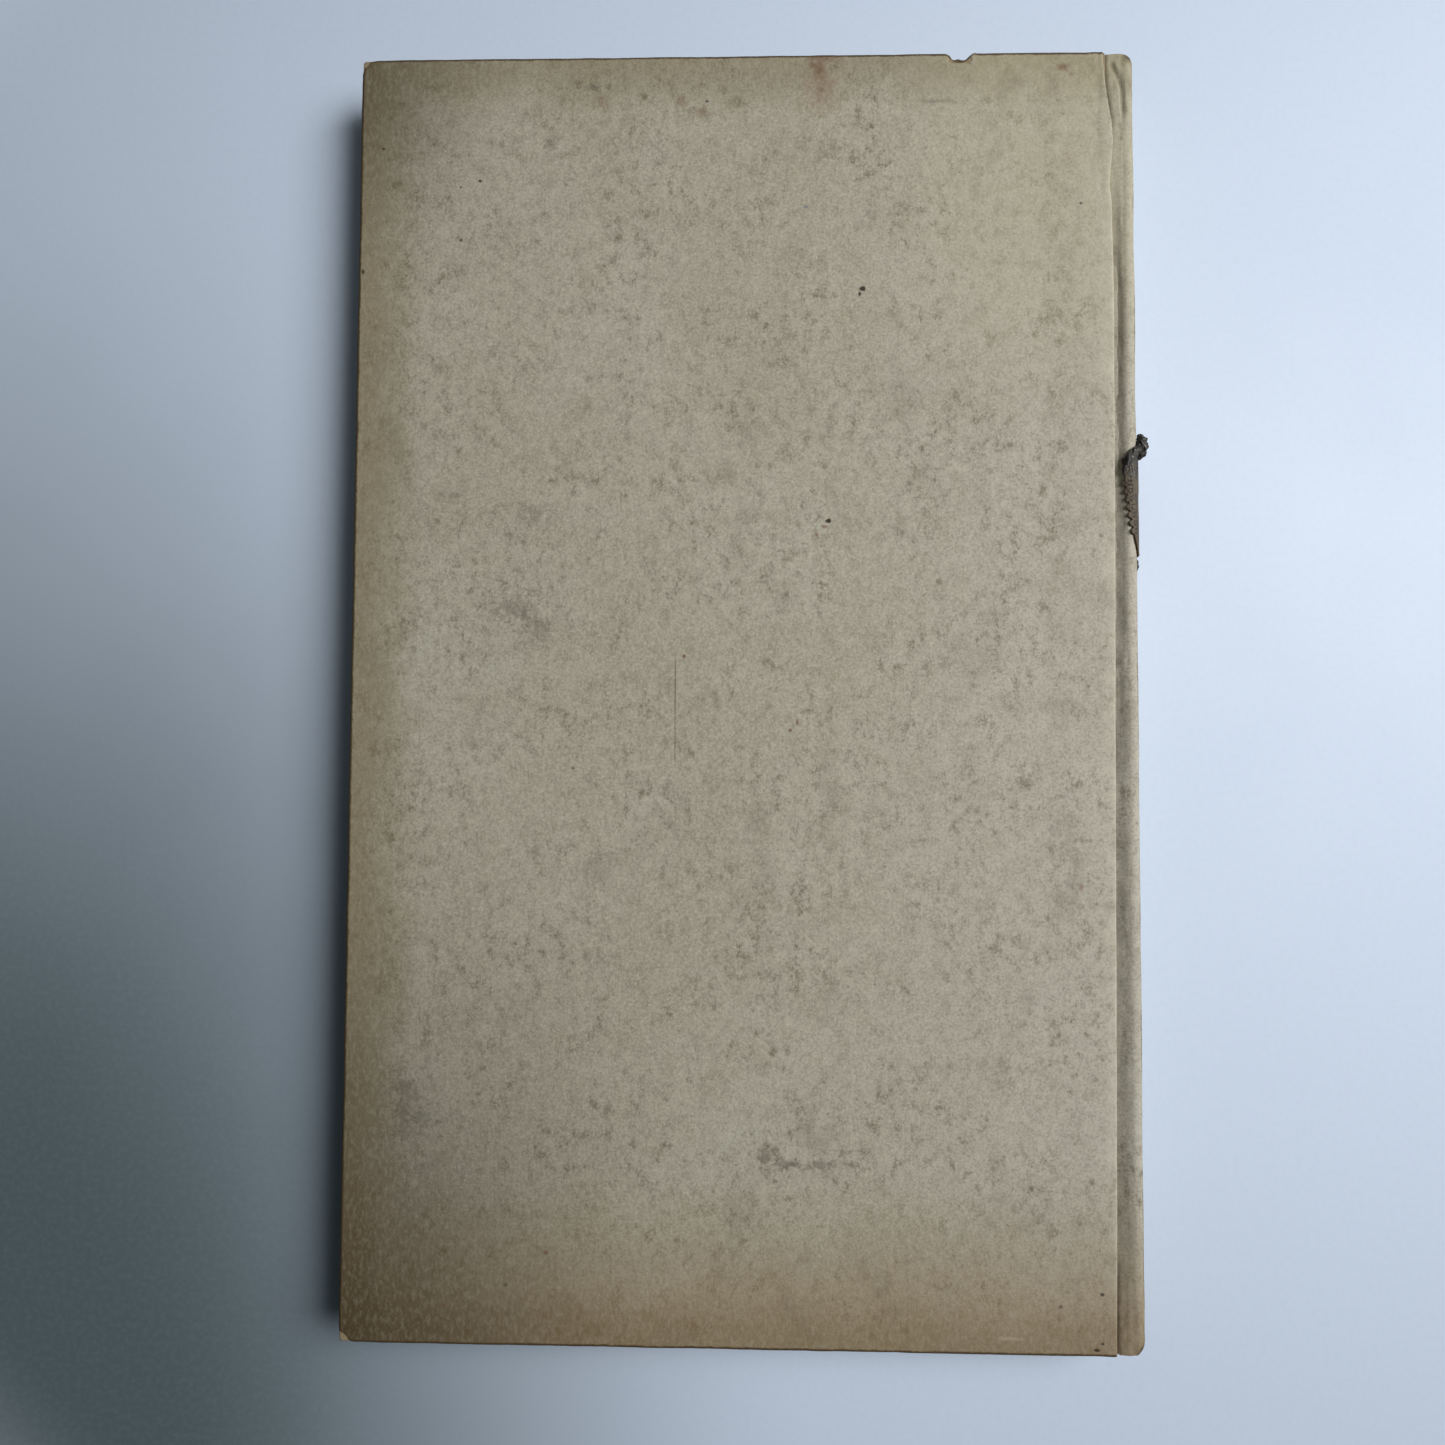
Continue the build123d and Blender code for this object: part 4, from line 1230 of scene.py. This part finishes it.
def crumpled_tube(name, points, radii, seed, crumple, count=60, around=28):
    """A closed, creased roll of leather along a path."""
    path = smooth_path(points, count)
    width = np.interp(np.linspace(0, 1, count), np.linspace(0, 1, len(radii)), radii)
    tangent = np.gradient(path, axis=0)
    tangent /= np.linalg.norm(tangent, axis=1, keepdims=True)
    side = np.cross(tangent, [0, 0, 1.0])
    side /= np.maximum(np.linalg.norm(side, axis=1, keepdims=True), 1e-6)
    other = np.cross(side, tangent)
    angle = np.linspace(0, 2 * math.pi, around, endpoint=False)
    ring = []
    for k in range(count):
        u, v = np.cos(angle), np.sin(angle)
        fold = np.abs(ripple(u * 1.3 + k * 0.06, v * 1.3 + k * 0.11, 0.75, seed))
        fold2 = ripple(u * 2.1 + k * 0.17, v * 2.1 - k * 0.08, 0.6, seed + 1)
        r = width[k] * (1 + crumple * (0.7 * fold - 0.45) + crumple * 0.4 * fold2)
        ring.append(path[k] + side[k] * (u * r)[:, None] + other[k] * (v * r)[:, None])
    ring = np.array(ring)
    points = ring.reshape(-1, 3)
    faces = []
    for k in range(count - 1):
        for j in range(around):
            a, b = k * around + j, k * around + (j + 1) % around
            faces.append((a, a + around, b + around, b))
    faces.append(tuple(range(around)))
    last = (count - 1) * around
    faces.append(tuple(last + j for j in range(around))[::-1])
    rubbed = np.clip(np.abs(ripple(points[:, 0] * 2, points[:, 1] * 2, 0.5, seed)), 0, 1) * 0.7
    values = {"charred": np.ones(len(points)), "edge": rubbed, "tooling": np.zeros(len(points))}
    return mesh_object(name, to_frame(points), faces, values, leather)


def ride_and_stand_for(piece, body, slot, *nodes):
    """Gives a finished piece its body and hides the solids it stands for; the slot that names its finish is not used.
    """
    if body:
        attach(piece, body)
    if nodes:
        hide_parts(*nodes)
    return piece


back_sheet = bend_with(covering_sheet("back_cover_sheet", 1, 3))
ride_and_stand_for(back_sheet, None, "cover_paper", "back_cover_paper", "spine_cover_paper")
front_sheet = bend_with(covering_sheet("front_cover_sheet", -1, 57))
ride_and_stand_for(front_sheet, None, "cover_paper", "front_cover_paper")
for side, body in ((1, "back_cover"), (-1, "front_cover")):
    turned = turned_in_paper(body + "_turn_ins", side, 60 + side)
    ride_and_stand_for(turned, body, "cover_paper")
    word = body.split("_")[0]
    pasted = bend_with(pasted_endpaper(word + "_pasted_endpaper", side))
    ride_and_stand_for(pasted, None, "endpaper", word + "_pastedown")
    free = free_endpaper(word + "_free_endpaper", side)
    ride_and_stand_for(free, "text_block", "endpaper", word + "_endpaper")
    cloth = bend_with(mull_sheet(body + "_mull", side))
    ride_and_stand_for(cloth, None, "mull_cloth", word + "_mull_flange", "mull")
ride_and_stand_for(book_leaves(), "text_block", "book_paper", "text_block")
for side, body in ((1, "back_cover"), (-1, "front_cover")):
    half = bend_with(label_sheet("label_towards_" + body, side))
    ride_and_stand_for(half, None, "label_leather", "spine_label")


def label_end(name, points, radii, *shape):
    """A crumpled end of the label, which stays with the spine."""
    tube = crumpled_tube(name, points, radii, *shape)
    return ride_and_stand_for(tube, "text_block", "label_leather")


curl_path = [(-1.5, 38.0, 5.45), (-1.1, 39.4, 5.6), (-0.3, 41.0, 5.6)]
curl_path += [(0.8, 42.2, 5.3), (1.7, 42.9, 4.7), (1.9, 43.8, 4.2)]
curl = label_end("label_peeled_roll", curl_path, [0.2, 0.55, 0.8, 0.85, 0.9, 0.4], 81, 0.55)
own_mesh(curl)
knob_path = [(1.5, 40.9, 4.3), (1.95, 41.9, 4.5), (2.05, 43.3, 4.6), (1.85, 44.5, 4.6), (1.55, 45.4, 4.4)]
knob = label_end("label_curled_knob", knob_path, [0.3, 0.85, 1.1, 0.9, 0.3], 91, 0.6, 44, 32)
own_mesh(knob)
scrap_path = [(1.2, 23.4, 3.1), (1.4, 22.8, 3.0), (1.45, 22.0, 2.9), (1.4, 21.3, 2.85)]
label_end("label_torn_scrap", scrap_path, [0.3, 0.48, 0.5, 0.35], 97, 0.4, 26, 18)

for node, look in (
    ("back_board", board_look),
    ("front_board", board_look),
    ("spine_inlay", inlay_look),
    ("spine_lining", lining_look),
    ("sewing_cords", linen_look),
    ("kettle_stitches", linen_look),
):
    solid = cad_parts[node]
    solid.data.materials.clear()
    solid.data.materials.append(look)


# Floor, light and camera

BACKDROP = colour(206, 216, 230)


def floor_material():
    """A pale bluish table top, with a painted shadow: a soft dim patch at the near left."""
    made, net, shader = new_material("pale table top", 0.5, 0.3)
    at = net.position()
    x, y = net.split(at)[0:2]
    cloud = net.noise(at, 9.0, 3.0, 0.5)
    # Painted shadow: the table darkens towards the near left.
    across = net.over(net.plus(x, 0.14), 0.125)
    along = net.over(net.plus(y, 0.17), 0.25)
    away = net.distance(across, along)
    away = net.plus(away, net.times(net.minus(cloud, 0.5), 0.15))
    tone = net.mix(net.span(away, 0.26, 1.25), colour(80, 94, 99), colour(190, 203, 222))
    fine = net.noise(at, 900.0, 3.0, 0.6)
    tone = net.mix(net.span(fine, 0.4, 0.7, 0.0, 0.06), tone, colour(150, 164, 178))
    net.link(tone, shader["Base Color"])
    net.link(net.span(cloud, 0.3, 0.7, 0.45, 0.6), shader["Roughness"])
    relief(net, shader, fine, 0.00006, 0.25)
    # Far from the book the camera sees an even pale tone
    far = net.add("ShaderNodeEmission", {"Color": BACKDROP, "Strength": 1.0}).outputs[0]
    reach = net.distance(x, y)
    seen = net.add("ShaderNodeLightPath").outputs["Is Camera Ray"]
    share = net.times(net.span(reach, 0.18, 0.28), seen)
    output = made.node_tree.nodes["Material Output"]
    surface = made.node_tree.nodes["Principled BSDF"].outputs[0]
    both = net.add("ShaderNodeMixShader", {0: share, 1: surface, 2: far}).outputs[0]
    net.link(both, output.inputs["Surface"])
    return made


def table_top():
    """The floor that the book lies on."""
    size = 1.6
    corners = [(-size, -size, 0), (size, -size, 0), (size, size, 0), (-size, size, 0)]
    made = mesh_object("table_top", corners, [(0, 1, 2, 3)], material=floor_material())
    made.location.z = -0.00002


def lamp(name, place, aim, size, power, tint, spread):
    """A square area lamp aimed at a point, whose light spreads over the given degrees."""
    data = bpy.data.lights.new(name, "AREA")
    data.size = size
    data.energy = power
    data.color = tint
    data.spread = math.radians(spread)
    made = bpy.data.objects.new(name, data)
    made.location = place
    made.rotation_euler = (Vector(aim) - Vector(place)).to_track_quat("-Z", "Y").to_euler()
    bpy.context.scene.collection.objects.link(made)


def camera():
    """The photograph's view, from above the book and a little towards its tail."""
    data = bpy.data.cameras.new("camera")
    data.lens = 27.03
    data.sensor_width = 36.0
    data.clip_start = 0.01
    made = bpy.data.objects.new("camera", data)
    made.location = (0.00061, -0.01387, 0.20315)
    made.rotation_euler = [math.radians(a) for a in (2.301, 1.515, 0.313)]
    bpy.context.scene.collection.objects.link(made)
    bpy.context.scene.camera = made


def sky():
    """An even, slightly cool world, which the camera sees as a pale backdrop."""
    world = bpy.data.worlds.new("sky")
    bpy.context.scene.world = world
    world.use_nodes = True
    net = Net(world.node_tree)
    light = world.node_tree.nodes["Background"]
    light.inputs["Color"].default_value = colour(226, 238, 238)
    light.inputs["Strength"].default_value = 0.1
    backdrop = net.add("ShaderNodeBackground", {"Color": BACKDROP, "Strength": 1.0}).outputs[0]
    ray = net.add("ShaderNodeLightPath").outputs["Is Camera Ray"]
    both = net.add("ShaderNodeMixShader", {0: ray, 1: light.outputs[0], 2: backdrop}).outputs[0]
    net.link(both, world.node_tree.nodes["World Output"].inputs["Surface"])


table_top()
lamp("window", (0.5, 0.16, 0.6), (0.06, 0.02, 0.0), 0.5, 1.56, (1.0, 0.985, 0.96), 66.0)
camera()
sky()
bpy.context.scene.view_settings.view_transform = "Standard"
